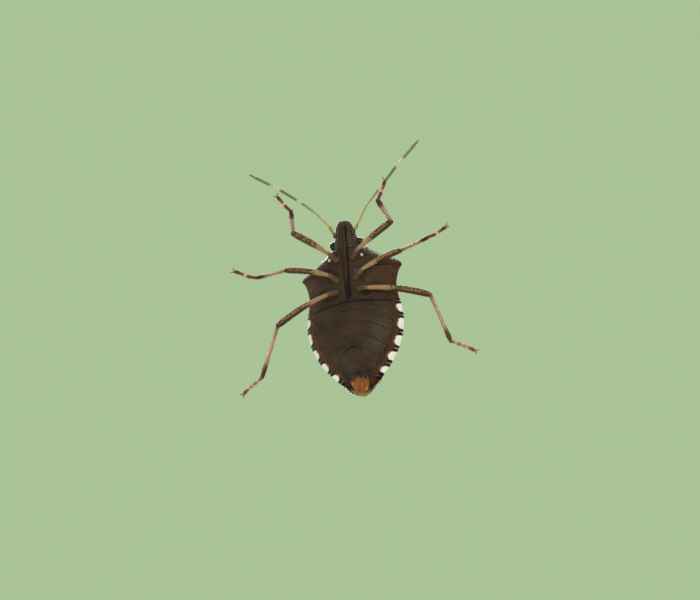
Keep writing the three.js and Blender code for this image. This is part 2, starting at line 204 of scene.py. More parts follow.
floor_material, tree = new_material("lower_floor")
floor_shader = add_node(tree, "ShaderNodeBsdfPrincipled", Roughness=0.9)
floor_shader.inputs["Base Color"].default_value = FLOOR_TONE
floor_out = add_node(tree, "ShaderNodeOutputMaterial")
link(tree, floor_shader.outputs[0], floor_out.inputs["Surface"])
lower = plain_sheet("lower_floor", FLOOR_SIZE, FLOOR_LEVEL, floor_material)
print("stage:", pane.name, "at 0 and", lower.name, "at", FLOOR_LEVEL, "m")

# %% [markdown]
# ### Light
#
# The picture's light comes from behind the bug. A wide lamp stands above it, and soft lamps below give
# the belly its faint sheen. The world has one colour for the camera to see and another for all other
# light, because a green world would tint the brown skin.

# %% World and lamps
BACKDROP = (0.40, 0.55, 0.31, 1)
ROOM_LIGHT = (0.72, 0.7, 0.66, 1)
# Place, size across and colour of each lamp, and its power in watts.
LAMPS = {
    "sky_behind": ((-0.05, -0.12, 0.22), 0.16, (1.0, 0.99, 0.86), 0.6),
    "room_low": ((0.16, -0.02, -0.2), 0.1, (0.9, 0.94, 1.0), 0.2),
    "room_fill": ((-0.14, 0.14, -0.16), 0.12, (1.0, 0.95, 0.88), 0.12),
}


def build_world():
    world = bpy.data.worlds.new("backdrop")
    bpy.context.scene.world = world
    world.use_nodes = True
    tree = world.node_tree
    tree.nodes.clear()
    seen = add_node(tree, "ShaderNodeBackground", Color=BACKDROP)
    light = add_node(tree, "ShaderNodeBackground", Color=ROOM_LIGHT)
    ray = add_node(tree, "ShaderNodeLightPath").outputs["Is Camera Ray"]
    choose_shader(tree, ray, light, seen, "ShaderNodeOutputWorld")


def add_lamp(name, place, size, color, watts):
    """A round soft lamp that faces the bug and isn't seen itself."""
    data = bpy.data.lights.new(name, "AREA")
    data.shape = "DISK"
    data.size = size
    data.energy = watts
    data.color = color
    made = add_object(name, data)
    made.location = place
    made.rotation_euler = (-Vector(place)).to_track_quat("-Z", "Y").to_euler()
    made.visible_camera = False


build_world()
bpy.context.scene.view_settings.view_transform = "Standard"
for name, numbers in LAMPS.items():
    add_lamp(name, *numbers)
print("lamps:", ", ".join(LAMPS))

# %% [markdown]
# ## The body as formulas
#
# A smooth curve through a few measured widths and heights gives the outline and profile. The same
# values made the solids, so the skin lies where they lie. Harmonic-mean slopes keep the curve from
# swinging past its points, which a plain spline would do at the shoulders.

# %% Curves


def profile(pairs):
    """A smooth function through (position, value) pairs that never overshoots between two of them."""
    at = np.array([p[0] for p in pairs], float)
    value = np.array([p[1] for p in pairs], float)
    run = np.diff(at)
    steps = np.diff(value) / run
    slopes = np.concatenate([steps[:1], np.zeros(len(at) - 2), steps[-1:]])
    for i in range(1, len(at) - 1):
        a, b = steps[i - 1], steps[i]
        slopes[i] = 0 if a * b <= 0 else 2 * a * b / (a + b)

    def evaluate(where):
        where = np.clip(np.asarray(where, float), at[0], at[-1])
        i = np.clip(np.searchsorted(at, where, side="right") - 1, 0, len(run) - 1)
        t = (where - at[i]) / run[i]
        bent = t * t * (3 - 2 * t)
        lift = t * (1 - t) ** 2 * slopes[i] - t * t * (1 - t) * slopes[i + 1]
        return value[i] + (value[i + 1] - value[i]) * bent + lift * run[i]

    return evaluate


def mix(a, b, t):
    return a + (b - a) * t


def smooth(t):
    t = np.clip(t, 0, 1)
    return t * t * (3 - 2 * t)


def hump(distance, width):
    """1 at a line and 0 well away from it on either side, with a round top."""
    return np.exp(-(distance / width) ** 2)


print("half way up a smooth step:", smooth(0.5), "and a width off a hump:", round(float(hump(1, 1)), 2))

# %% [markdown]
# ### Outline and profile
#
# Half widths and heights against y, in mm: the outline of the body, the height of its widest line, the
# crown of the back, the lowest line of the belly and the half width of the folded wings.

# %% Outline and profile
half_width = profile([
    (-6.45, 1.72), (-6.0, 2.4), (-5.6, 3.15), (-5.2, 3.85), (-4.95, 4.2), (-4.75, 4.3), (-4.3, 4.07),
    (-3.6, 3.86), (-2.8, 3.76), (-1.85, 3.86), (-0.8, 4.05), (0.1, 4.13), (1.4, 3.95), (2.8, 3.45),
    (4.0, 2.72), (4.65, 2.2), (5.2, 1.65), (5.65, 1.1), (5.95, 0.55), (6.05, 0.2),
])
edge_height = profile([
    (-8.9, 2.95), (-6.45, 3.7), (-4.8, 4.2), (-3, 3.8), (-1, 3.5), (3, 3.4), (6.5, 3.35),
])
back_height = profile([
    (-6.45, 4.5), (-5.5, 5.3), (-4.2, 6.05), (-3.3, 6.2), (-1, 6.1), (1, 5.7), (3, 5.05),
    (5, 4.4), (6.5, 3.95),
])
belly_height = profile([
    (-6.45, 2.15), (-5, 1.95), (-3, 1.75), (-1.6, 1.7), (-0.5, 1.5), (1, 1.4), (2.5, 1.5),
    (4, 1.95), (5.2, 2.55), (6.05, 3.1),
])
wing_width = profile([
    (-4.3, 3.9), (-3.6, 3.78), (-2.8, 3.68), (-1.8, 3.66), (-0.8, 3.62), (0.5, 3.52), (1.5, 3.3),
    (2.5, 2.98), (3.5, 2.62), (4.5, 2.2), (5.3, 1.72), (5.9, 1.2), (6.3, 0.72), (6.5, 0.3),
])
SHOULDERS = -4.75
print("shoulder width, mm:", round(float(2 * half_width(SHOULDERS)), 2))

# %% [markdown]
# ### Heights over the plan
#
# The body is a dome above and a bowl below the widest line. A power of how far out a point lies makes
# the dome full or slack. The wings lie on a deck, so the cover is the deck and a thickness.

# %% Heights over the plan
THORAX_REAR = -1.6
GAP = 0.25
WING_THICKNESS = 0.5
RIM_STEP = 0.1


def side_of(x, y):
    """How far out a point lies: 0 on the middle line, 1 on the outline."""
    return np.minimum(1, np.abs(x) / half_width(y))


def belly_at(x, y):
    flat = mix(0.95, 0.72, np.clip((y - THORAX_REAR) / 2, 0, 1))
    bulge = (1 - side_of(x, y) ** 1.9) ** flat
    return edge_height(y) - (edge_height(y) - belly_height(y)) * bulge


def shield_top_at(x, y):
    rise = (1 - side_of(x, y) ** 2.2) ** 0.8
    return edge_height(y) + (back_height(y) - edge_height(y)) * rise


def deck_at(x, y):
    """Top of the abdomen, which the wings lie on, with its flat rim outside them."""
    inner = wing_width(y)
    outer = np.maximum(half_width(y), inner + 0.05)
    out = np.abs(x)
    rim = edge_height(y) + RIM_STEP * (1 - np.clip((out - inner) / (outer - inner), 0, 1))
    middle = back_height(y) - WING_THICKNESS - GAP
    rise = np.clip(1 - (np.minimum(out, inner) / inner) ** 2.3, 0, 1)
    low = edge_height(y) + RIM_STEP
    dome = low + np.maximum(0, middle - low) * rise
    return np.where(out >= inner, rim, dome)


def cover_at(x, y):
    """Top of the folded wings, which rounds down to the deck at their edge."""
    across = np.minimum(1, np.abs(x) / wing_width(y))
    thick = (GAP + WING_THICKNESS) * (1 - across**9) ** 0.8
    return deck_at(x, y) + thick


print("height of the body at its middle, mm:", round(float(cover_at(0.0, 0.0) - belly_at(0.0, 0.0)), 2))

# %% [markdown]
# ## Meshes from rings
#
# Every piece of skin is a row of closed rings: round a leg, or out across the top of a plate and
# back across its underside. One helper joins the rings, closes both ends and keeps a few measured values
# on the points, such as how far along the leg they lie, for the materials to read.

# %% Ring lofts
TINY = 1e-7


def ring_mesh(name, rings, values):
    """A closed skin through rings of equally many points; values holds a number per point by name."""
    rings = np.asarray(rings, float)
    rows, count, _ = rings.shape
    points = to_scene(rings.reshape(-1, 3))
    faces = []
    for row in range(rows - 1):
        for k in range(count):
            a, b = row * count + k, row * count + (k + 1) % count
            faces.append((a, b, b + count, a + count))
    faces.append(tuple(range(count - 1, -1, -1)))
    faces.append(tuple((rows - 1) * count + k for k in range(count)))
    mesh = bpy.data.meshes.new(name)
    mesh.from_pydata(points.tolist(), [], faces)
    for key, numbers in values.items():
        layer = mesh.attributes.new(key, "FLOAT", "POINT")
        layer.data.foreach_set("value", np.asarray(numbers, float).reshape(-1))
    tidy_mesh(mesh)
    return add_object(name, mesh)


def tidy_mesh(mesh):
    """Joins points that coincide, turns faces outwards and shades the skin smooth."""
    work = bmesh.new()
    work.from_mesh(mesh)
    bmesh.ops.remove_doubles(work, verts=work.verts, dist=2 * TINY)
    bmesh.ops.dissolve_degenerate(work, edges=work.edges, dist=TINY)
    bmesh.ops.recalc_face_normals(work, faces=work.faces)
    work.to_mesh(mesh)
    work.free()
    mesh.shade_smooth()
    mesh.update()


print("skins are closed and smooth; points nearer than", 2 * TINY, "m are joined")

# %% [markdown]
# ### Plates
#
# A plate is a patch of the plan with a top and a bottom. Steps across it crowd towards the edges, where
# the dome is steep. "under" is kept on the points of the bottom, for finishes that differ below.

# %% Plates


def plate(name, plan, top, bottom, us, vs, values=None):
    """A closed plate between two height functions over a plan that turns (u, v) into (x, y)."""
    grid_u, grid_v = np.meshgrid(us, vs)
    x, y = plan(grid_u, grid_v)
    upper = np.stack([x, y, top(x, y)], -1)
    lower = np.stack([x, y, bottom(x, y)], -1)
    rings = np.concatenate([upper, lower[:, ::-1]], 1)
    kept = {"under": np.concatenate([np.zeros_like(x), np.ones_like(x)], 1)}
    for key, rule in (values or {}).items():
        numbers = rule(x, y)
        kept[key] = np.concatenate([numbers, numbers[:, ::-1]], 1)
    return ring_mesh(name, rings, kept)


def even(count):
    return np.linspace(0, 1, count)


def crowded(count):
    """Steps across a width that crowd towards both edges."""
    return np.sin(np.linspace(-1, 1, count) * math.pi / 2)


def finish_piece(piece, material, slot, *nodes):
    """Material, body and the solids that a piece stands for."""
    piece.data.materials.append(material)
    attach(piece, "root")
    if nodes:
        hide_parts(*nodes)


def tell(*pieces):
    for piece in pieces:
        print(piece.name, "has", len(piece.data.polygons), "faces")


print("steps across a plate, crowded to its edges:", np.round(crowded(5), 2))

# %% [markdown]
# ## Finishes
#
# The skin of this bug is tan and dark brown in a fine marbling, peppered with black pits, each the
# print of a tiny hollow. Two effects come back in most finishes, so each is a node group: pits, which
# are cells of a Voronoi pattern cut off at a radius, and mottle, which is two layers of noise.

# %% Node helpers


def new_group(name, inputs, outputs):
    group = bpy.data.node_groups.new(name, "ShaderNodeTree")
    for label, kind, default in inputs:
        socket = group.interface.new_socket(label, in_out="INPUT", socket_type=kind)
        if default is not None:
            socket.default_value = default
    for label, kind in outputs:
        group.interface.new_socket(label, in_out="OUTPUT", socket_type=kind)
    return group, group.nodes.new("NodeGroupInput"), group.nodes.new("NodeGroupOutput")


def ramp_between(tree, value, low, high, to_low=0.0, to_high=1.0):
    """A smooth step of a value from low to high."""
    made = add_node(
        tree, "ShaderNodeMapRange", interpolation_type="SMOOTHSTEP",
        From_Min=low, From_Max=high, To_Min=to_low, To_Max=to_high,
    )
    link(tree, value, made.inputs["Value"])
    return made.outputs["Result"]


def feed(tree, given, socket):
    """Sets a socket to a number or an RGB tuple, or links another socket to it."""
    if isinstance(given, tuple):
        socket.default_value = (*given, 1)
    elif isinstance(given, (int, float)):
        socket.default_value = given
    else:
        link(tree, given, socket)


def arithmetic(tree, operation, a, b):
    made = add_node(tree, "ShaderNodeMath", operation=operation)
    feed(tree, a, made.inputs[0])
    feed(tree, b, made.inputs[1])
    return made.outputs[0]


def times(tree, product, *factors):
    """The product of sockets and numbers."""
    for factor in factors:
        product = arithmetic(tree, "MULTIPLY", product, factor)
    return product


def layered(tree, ground, *layers):
    """Lays colours over a ground one after another, each through its own mask."""
    for mask, colour in layers:
        made = add_node(tree, "ShaderNodeMix", data_type="RGBA")
        feed(tree, mask, made.inputs[0])
        feed(tree, ground, made.inputs[6])
        feed(tree, colour, made.inputs[7])
        ground = made.outputs[2]
    return ground


print("helpers: a step, sums and products, and layers of colour")

# %% [markdown]
# ### Pits and mottle
#
# Both groups take a size in patterns per millimetre, and the pits are made about 0.2 mm apart. A share
# below 1 leaves some cells without a pit, which looks less regular than smaller pits would.

# %% Pits and mottle
FLOAT = "NodeSocketFloat"
VECTOR = "NodeSocketVector"
TO_MM = 1 / MM
PIT_BLUR = (-0.06, 0.08)
PIT_SCATTER = 0.85
CLOUD_EDGES = (0.3, 0.7)


def build_pits():
    """Round pits: Mask is 1 inside one."""
    group, given, out = new_group(
        "pits",
        [
            ("Vector", VECTOR, None), ("Per mm", FLOAT, 5.0),
            ("Radius", FLOAT, 0.3), ("Share", FLOAT, 1.0),
        ],
        [("Mask", FLOAT)],
    )
    cells = add_node(group, "ShaderNodeTexVoronoi", feature="F1")
    scale = times(group, given.outputs["Per mm"], TO_MM)
    link(group, given.outputs["Vector"], cells.inputs["Vector"])
    link(group, scale, cells.inputs["Scale"])
    cells.inputs["Randomness"].default_value = PIT_SCATTER
    edge = arithmetic(group, "SUBTRACT", given.outputs["Radius"], cells.outputs["Distance"])
    inside = ramp_between(group, edge, *PIT_BLUR)
    split = add_node(group, "ShaderNodeSeparateColor")
    link(group, cells.outputs["Color"], split.inputs[0])
    chosen = arithmetic(group, "LESS_THAN", split.outputs[0], given.outputs["Share"])
    mask = times(group, inside, chosen)
    link(group, mask, out.inputs["Mask"])
    return group


def build_mottle():
    """Clouds of two sizes between 0 and 1."""
    group, given, out = new_group(
        "mottle",
        [("Vector", VECTOR, None), ("Per mm", FLOAT, 1.5)],
        [("Coarse", FLOAT), ("Fine", FLOAT)],
    )
    scale = times(group, given.outputs["Per mm"], TO_MM)
    for label, factor, detail in (("Coarse", 1.0, 3.0), ("Fine", 6.5, 2.0)):
        noise = add_node(group, "ShaderNodeTexNoise", Detail=detail, Roughness=0.55)
        link(group, given.outputs["Vector"], noise.inputs["Vector"])
        link(group, times(group, scale, factor), noise.inputs["Scale"])
        link(group, ramp_between(group, noise.outputs["Fac"], *CLOUD_EDGES), out.inputs[label])
    return group


PITS = build_pits()
MOTTLE = build_mottle()
print("groups:", PITS.name, "and", MOTTLE.name)

# %% [markdown]
# ### Skin
#
# Horn of an insect is a rough skin under a thin clear coat. All finishes share one shader with those two
# layers, and differ by roughness, coat, relief and light inside.

# %% Shader helpers


def use_group(tree, group, vector, **values):
    made = add_node(tree, "ShaderNodeGroup", node_tree=group)
    link(tree, vector, made.inputs["Vector"])
    for key, value in values.items():
        made.inputs[key.replace("_", " ")].default_value = value
    return made


def object_place(tree):
    """Coordinates that stay with the piece."""
    return add_node(tree, "ShaderNodeTexCoord").outputs["Object"]


def skin_shader(tree, roughness=0.45, coat=0.0, specular=0.32):
    """A Principled shader and its output, with the values that are the same all over."""
    shader = add_node(tree, "ShaderNodeBsdfPrincipled", Roughness=roughness)
    shader.inputs["Specular IOR Level"].default_value = specular
    shader.inputs["Coat Weight"].default_value = coat
    shader.inputs["Coat Roughness"].default_value = 0.25
    out = add_node(tree, "ShaderNodeOutputMaterial")
    link(tree, shader.outputs[0], out.inputs["Surface"])
    return shader


def light_inside(shader, weight, spread, reach_mm):
    """Lets some light travel below the surface, the farther the redder."""
    shader.inputs["Subsurface Weight"].default_value = weight
    shader.inputs["Subsurface Radius"].default_value = spread
    shader.inputs["Subsurface Scale"].default_value = reach_mm * MM


def relief(tree, height, depth_mm, shader):
    bump = add_node(tree, "ShaderNodeBump", Strength=1.0, Distance=depth_mm * MM)
    link(tree, height, bump.inputs["Height"])
    link(tree, bump.outputs[0], shader.inputs["Normal"])


def attribute(tree, name):
    """A value kept on the mesh's points."""
    return add_node(tree, "ShaderNodeAttribute", attribute_name=name).outputs["Fac"]


def rgb(red, green, blue):
    """A colour as the eye reads it, 0 to 255, turned into linear light."""
    def linear(c):
        c /= 255
        return c / 12.92 if c <= 0.04045 else ((c + 0.055) / 1.055) ** 2.4
    return linear(red), linear(green), linear(blue)


print("mid grey in linear light:", round(rgb(128, 128, 128)[0], 3))

# %% [markdown]
# ### The back
#
# From above the bug is marbled grey brown, with warm tan between the pits. Small and large pits overlap,
# so that they look strewn and not set in rows. The underside of the same pieces takes the belly's
# browns, with the belly's painted shade in them.

# %% Back finish
# The two belly browns hold painted shade: they are darker than the real underside, which lies in shadow.
SHADED_BELLY_LIGHT = rgb(71, 51, 28)
SHADED_BELLY_DARK = rgb(45, 29, 15)
BACK_DARK = rgb(38, 29, 24)


def back_finish(name, light, middle, dark, pits_per_mm=5.5, radius=0.34):
    """Marbled and pitted above; the underside is belly brown, with its painted shade, and faint pits."""
    material, tree = new_material(name)
    place = object_place(tree)
    clouds = use_group(tree, MOTTLE, place, Per_mm=0.9)
    small = use_group(tree, PITS, place, Per_mm=pits_per_mm, Radius=radius, Share=0.9)
    large = use_group(tree, PITS, place, Per_mm=pits_per_mm * 0.55, Radius=0.3, Share=0.55)
    pits = arithmetic(tree, "MAXIMUM", small.outputs["Mask"], large.outputs["Mask"])
    under = attribute(tree, "under")
    pits = times(tree, pits, ramp_between(tree, under, 0, 1, 1, 0.25))
    coarse, fine = clouds.outputs["Coarse"], clouds.outputs["Fine"]
    # The underside gets the belly's browns, a shaded copy of the top with the shade painted in.
    below = layered(tree, SHADED_BELLY_LIGHT, (coarse, SHADED_BELLY_DARK))
    colour = layered(
        tree, light, (coarse, middle), (under, below), (times(tree, fine, 0.45), dark),
        (times(tree, pits, 0.88), dark),
    )
    shader = skin_shader(tree, coat=0.12)
    link(tree, colour, shader.inputs["Base Color"])
    link(tree, ramp_between(tree, pits, 0, 1, 0.42, 0.6), shader.inputs["Roughness"])
    grain = times(tree, fine, 0.25)
    relief(tree, arithmetic(tree, "SUBTRACT", grain, pits), 0.03, shader)
    return material


back_skin = back_finish("back_skin", rgb(158, 128, 92), rgb(112, 88, 64), BACK_DARK)
scutellum_skin = back_finish("scutellum_skin", rgb(150, 120, 86), rgb(104, 82, 60), BACK_DARK, 5.0, 0.36)
wing_skin = back_finish("wing_skin", rgb(140, 106, 82), rgb(98, 72, 58), rgb(40, 28, 26), 6.0, 0.33)
head_skin = back_finish("head_skin", rgb(128, 102, 74), rgb(88, 68, 50), rgb(34, 26, 21), 6.5, 0.36)
print("finishes so far:", [m.name for m in bpy.data.materials])

# %% [markdown]
# ### The belly
#
# The underside is smoother, with fine cross wrinkles and pits only towards the sides. Its browns are
# darker than the real underside, because the shade it lies in is painted into them. A soft sheen runs
# down the middle, partly from the lamps and partly painted in grey. How far out a point lies is measured
# on the mesh as "side", so the pits can thin out towards the middle whatever the shape of the plate.

# %% Belly finish
BELLY_BLACK = rgb(14, 11, 11)
BELLY_RED = rgb(92, 46, 26)
BELLY_OLIVE = rgb(76, 66, 36)
# Grey of a painted sheen, laid towards the middle of the belly.
PAINTED_SHEEN_GREY = rgb(72, 58, 56)


def stretched(tree, place, factors):
    made = add_node(tree, "ShaderNodeMapping", Scale=factors)
    link(tree, place, made.inputs["Vector"])
    return made.outputs[0]


def belly_ground(tree, pits_per_mm, redness):
    """The object's coordinates, ground colour, height and clouds for a belly finish."""
    place = object_place(tree)
    clouds = use_group(tree, MOTTLE, place, Per_mm=0.55)
    stains = use_group(tree, MOTTLE, stretched(tree, place, (1, 1, 2)), Per_mm=0.9)
    wrinkles = use_group(tree, MOTTLE, stretched(tree, place, (0.35, 1.6, 1)), Per_mm=2.2)
    pits = use_group(tree, PITS, place, Per_mm=pits_per_mm, Radius=0.34, Share=0.65)
    side = attribute(tree, "side")
    outer = ramp_between(tree, side, 0.35, 0.8)
    pitted = times(tree, pits.outputs["Mask"], outer)
    cloud, wrinkle = clouds.outputs["Fine"], wrinkles.outputs["Fine"]
    # Painted sheen: grey in clouds, strongest near the middle line.
    grey = times(tree, ramp_between(tree, side, 0.75, 0.1, 0, 0.45), cloud)
    red = times(tree, ramp_between(tree, side, 0.5, 0.95), stains.outputs["Coarse"], redness)
    ground = layered(
        tree, SHADED_BELLY_LIGHT, (clouds.outputs["Coarse"], SHADED_BELLY_DARK), (grey, PAINTED_SHEEN_GREY),
        (times(tree, outer, cloud, 0.5), BELLY_OLIVE), (red, BELLY_RED),
        (times(tree, wrinkle, 0.2), SHADED_BELLY_DARK), (times(tree, pitted, 0.85), BELLY_BLACK),
        (attribute(tree, "dark"), BELLY_BLACK),
    )
    height = arithmetic(tree, "SUBTRACT", times(tree, wrinkle, 0.3), pitted)
    return place, ground, height, clouds


belly_skin, tree = new_material("belly_skin")
_, ground, height, clouds = belly_ground(tree, pits_per_mm=4.4, redness=0.85)
shader = skin_shader(tree, 0.38, coat=0.03, specular=0.18)
link(tree, ground, shader.inputs["Base Color"])
link(tree, ramp_between(tree, clouds.outputs["Fine"], 0, 1, 0.36, 0.5), shader.inputs["Roughness"])
relief(tree, height, 0.02, shader)
print("nodes in the belly finish:", len(tree.nodes))

# %% [markdown]
# ### The banded edge
#
# The rim of the abdomen is cut into segments. Each is ivory in its middle and black at both corners,
# with a thin tan line where two meet. Two measures are kept on the mesh: "edge", how far in from the
# rim a point lies, and "joint", how far it is from the nearest meeting of two segments, both in mm.

# %% Abdomen finish
IVORY = rgb(255, 248, 232)
TAN = rgb(150, 112, 78)
RUST = rgb(88, 48, 26)
JOINT_LINE = 0.035
BLACK_REACH = 0.3
NARROW_BAND = 0.16
WIDE_BAND = 0.36
LAST_MARK = 5.1
MARK_BLUR = 0.03


def between(tree, value, low, high):
    """1 where a value lies from low to high, with soft borders."""
    rising = ramp_between(tree, value, low - MARK_BLUR, low + MARK_BLUR)
    falling = ramp_between(tree, value, high - MARK_BLUR, high + MARK_BLUR, 1, 0)
    return times(tree, rising, falling)


abdomen_skin, tree = new_material("abdomen_skin")
place, ground, height, clouds = belly_ground(tree, pits_per_mm=6.5, redness=0.55)
marked = attribute(tree, "marked")
wobble = use_group(tree, MOTTLE, place, Per_mm=2.5).outputs["Coarse"]
shake = times(tree, arithmetic(tree, "SUBTRACT", wobble, 0.5), 0.1)
edge = arithmetic(tree, "ADD", attribute(tree, "edge"), shake)
joint = arithmetic(tree, "ADD", attribute(tree, "joint"), times(tree, shake, 0.6))
depth = ramp_between(tree, joint, 0.15, 0.5, NARROW_BAND, WIDE_BAND)
inward = arithmetic(tree, "SUBTRACT", edge, depth)
marks = times(tree, ramp_between(tree, inward, -0.06, 0.03, 1, 0), marked)
halo = times(tree, ramp_between(tree, inward, -0.05, 0.2, 0.75, 0), marked)
halo = times(tree, halo, ramp_between(tree, joint, 0.3, 0.5))
blotch = times(tree, ramp_between(tree, edge, 0.3, 0.85, 0.8, 0), wobble)
corner = ramp_between(tree, edge, 0.25, 0.36, 1, 0)
black = times(tree, between(tree, joint, JOINT_LINE, BLACK_REACH), corner)
line = ramp_between(tree, joint, JOINT_LINE - MARK_BLUR, JOINT_LINE + MARK_BLUR, 1, 0)
colour = layered(
    tree, ground, (blotch, RUST), (halo, TAN), (marks, IVORY),
    (times(tree, line, corner), TAN), (black, BELLY_BLACK),
)
shader = skin_shader(tree, 0.38, coat=0.04, specular=0.18)
light_inside(shader, 0.4, (1.0, 0.75, 0.5), 0.12)
link(tree, colour, shader.inputs["Base Color"])
link(tree, ramp_between(tree, clouds.outputs["Fine"], 0, 1, 0.34, 0.46), shader.inputs["Roughness"])
relief(tree, height, 0.018, shader)
print("nodes in the abdomen's finish:", len(tree.nodes))

# %% [markdown]
# ### Legs and feelers
#
# A leg is pale amber horn with dark brown specks. It lets a little light through, which gives the warm
# glow at the edges against the sky, so its shader has some subsurface light. Bands of colour are
# measured on the mesh as "dark", "red" and "specks" from curves along each piece.

# %% Limb finish


def limb_finish(name, pale, red, dark, specks_per_mm=5.5):
    material, tree = new_material(name)
    place = object_place(tree)
    clouds = use_group(tree, MOTTLE, place, Per_mm=2.0)
    large = use_group(tree, PITS, place, Per_mm=specks_per_mm, Radius=0.44, Share=0.95)
    small = use_group(tree, PITS, place, Per_mm=specks_per_mm * 1.7, Radius=0.42, Share=0.7)
    spots = arithmetic(tree, "MAXIMUM", large.outputs["Mask"], small.outputs["Mask"])
    fine = times(tree, clouds.outputs["Fine"], 0.35)
    level = arithmetic(tree, "ADD", attribute(tree, "specks"), arithmetic(tree, "SUBTRACT", fine, 0.17))
    speckled = times(tree, spots, ramp_between(tree, level, 0.1, 0.75))
    covered = arithmetic(tree, "MAXIMUM", speckled, attribute(tree, "dark"))
    colour = layered(
        tree, pale, (attribute(tree, "red"), red), (times(tree, clouds.outputs["Coarse"], 0.25), red),
        (times(tree, covered, 0.92), dark),
    )
    shader = skin_shader(tree, 0.42, coat=0.04, specular=0.28)
    light_inside(shader, 0.15, (1.0, 0.5, 0.28), 0.08)
    link(tree, colour, shader.inputs["Base Color"])
    relief(tree, arithmetic(tree, "SUBTRACT", fine, speckled), 0.012, shader)
    return material


LIMB_DARK = rgb(38, 21, 12)
leg_horn = limb_finish("leg_horn", rgb(172, 140, 98), rgb(150, 98, 56), LIMB_DARK, 4.8)
shin_horn = limb_finish("shin_horn", rgb(214, 174, 144), rgb(132, 74, 46), LIMB_DARK)
foot_horn = limb_finish("foot_horn", rgb(226, 194, 164), rgb(142, 76, 38), rgb(58, 18, 12))
feeler_horn = limb_finish("feeler_horn", rgb(226, 220, 160), rgb(172, 150, 52), rgb(66, 92, 66), 9.0)
print("limb finishes:", leg_horn.name, shin_horn.name, foot_horn.name, feeler_horn.name)

# %% [markdown]
# ### Eyes, films and bristles
#
# An eye is nearly black and glossy, with a print of tiny facets. A folded film is smoky and half clear
# with dark veins. Glass would bend the light and is hard to bake, so the film is plain skin with alpha.

# %% Eye, film and bristle finishes
eye_gloss, tree = new_material("eye_gloss")
facets = use_group(tree, PITS, object_place(tree), Per_mm=22.0, Radius=0.42, Share=2.0).outputs["Mask"]
shader = skin_shader(tree, 0.22, coat=0.2, specular=0.35)
link(tree, layered(tree, rgb(26, 20, 20), (facets, rgb(12, 9, 10))), shader.inputs["Base Color"])
relief(tree, facets, 0.006, shader)

film, tree = new_material("wing_film")
clouds = use_group(tree, MOTTLE, object_place(tree), Per_mm=1.4)
vein = attribute(tree, "vein")
smoke = (clouds.outputs["Coarse"], rgb(158, 132, 92))
shader = skin_shader(tree, 0.25, coat=0.3)
colour = layered(tree, rgb(214, 196, 138), smoke, (vein, rgb(52, 36, 28)))
link(tree, colour, shader.inputs["Base Color"])
link(tree, ramp_between(tree, vein, 0, 1, 0.5, 1.0), shader.inputs["Alpha"])
relief(tree, clouds.outputs["Fine"], 0.01, shader)

hair, tree = new_material("hair")
feed(tree, rgb(150, 112, 74), skin_shader(tree, 0.5).inputs["Base Color"])
ocellus_gloss, tree = new_material("ocellus_gloss")
feed(tree, rgb(120, 40, 22), skin_shader(tree, 0.15, coat=0.6).inputs["Base Color"])
print("finishes so far:", len(bpy.data.materials))

# %% [markdown]
# ## Body plates
#
# The shield behind the head is one plate from side to side. Its relief is small next to its size: two
# smooth swellings near the front, a shallow dip across and a raised rim, all added to the dome.

# %% Shield
SHIELD_FRONT = -6.4
SHIELD_REAR = -3.5
SHOULDER_DROP = 1.1
CALLUS_HEIGHT = 0.09
DIP_DEPTH = 0.06
RIM_HEIGHT = 0.05
RIDGE_HEIGHT = 0.03


def shield_front_at(u):
    return SHIELD_FRONT - 0.1 + 0.35 * (1 - u * u)


def shield_rear_at(u):
    return SHIELD_REAR - SHOULDER_DROP * np.abs(u) ** 4


def shield_plan(u, v):
    side = mix(shield_front_at(1.0), shield_rear_at(1.0), v)
    return u * half_width(side), mix(shield_front_at(u), shield_rear_at(u), v)


def shield_relief(x, y):
    out = np.abs(x)
    callus = CALLUS_HEIGHT * hump(out - 0.95, 0.5) * hump(y + 5.75, 0.28)
    dip = -DIP_DEPTH * hump(y + 5.15, 0.3) * smooth(1.2 - out / 3.2)
    rim = RIM_HEIGHT * hump(half_width(y) - out - 0.1, 0.12) * smooth((4.2 - out) / 0.6 + 0.5)
    middle = RIDGE_HEIGHT * hump(x, 0.1)
    return callus + dip + rim + middle


shield = plate(
    "pronotum", shield_plan,
    lambda x, y: shield_top_at(x, y) + shield_relief(x, y),
    lambda x, y: edge_height(y) - 0.05 * (1 - side_of(x, y) ** 6),
    crowded(121), even(90),
)
finish_piece(shield, back_skin, "back", "prothorax")
tell(shield)

# %% [markdown]
# ## Places of the legs
#
# Where each leg bends was read from the picture, in mm from the middle of the bug; the heights and the
# hips are set to suit. The hollows round the hips and the legs themselves both need these places.

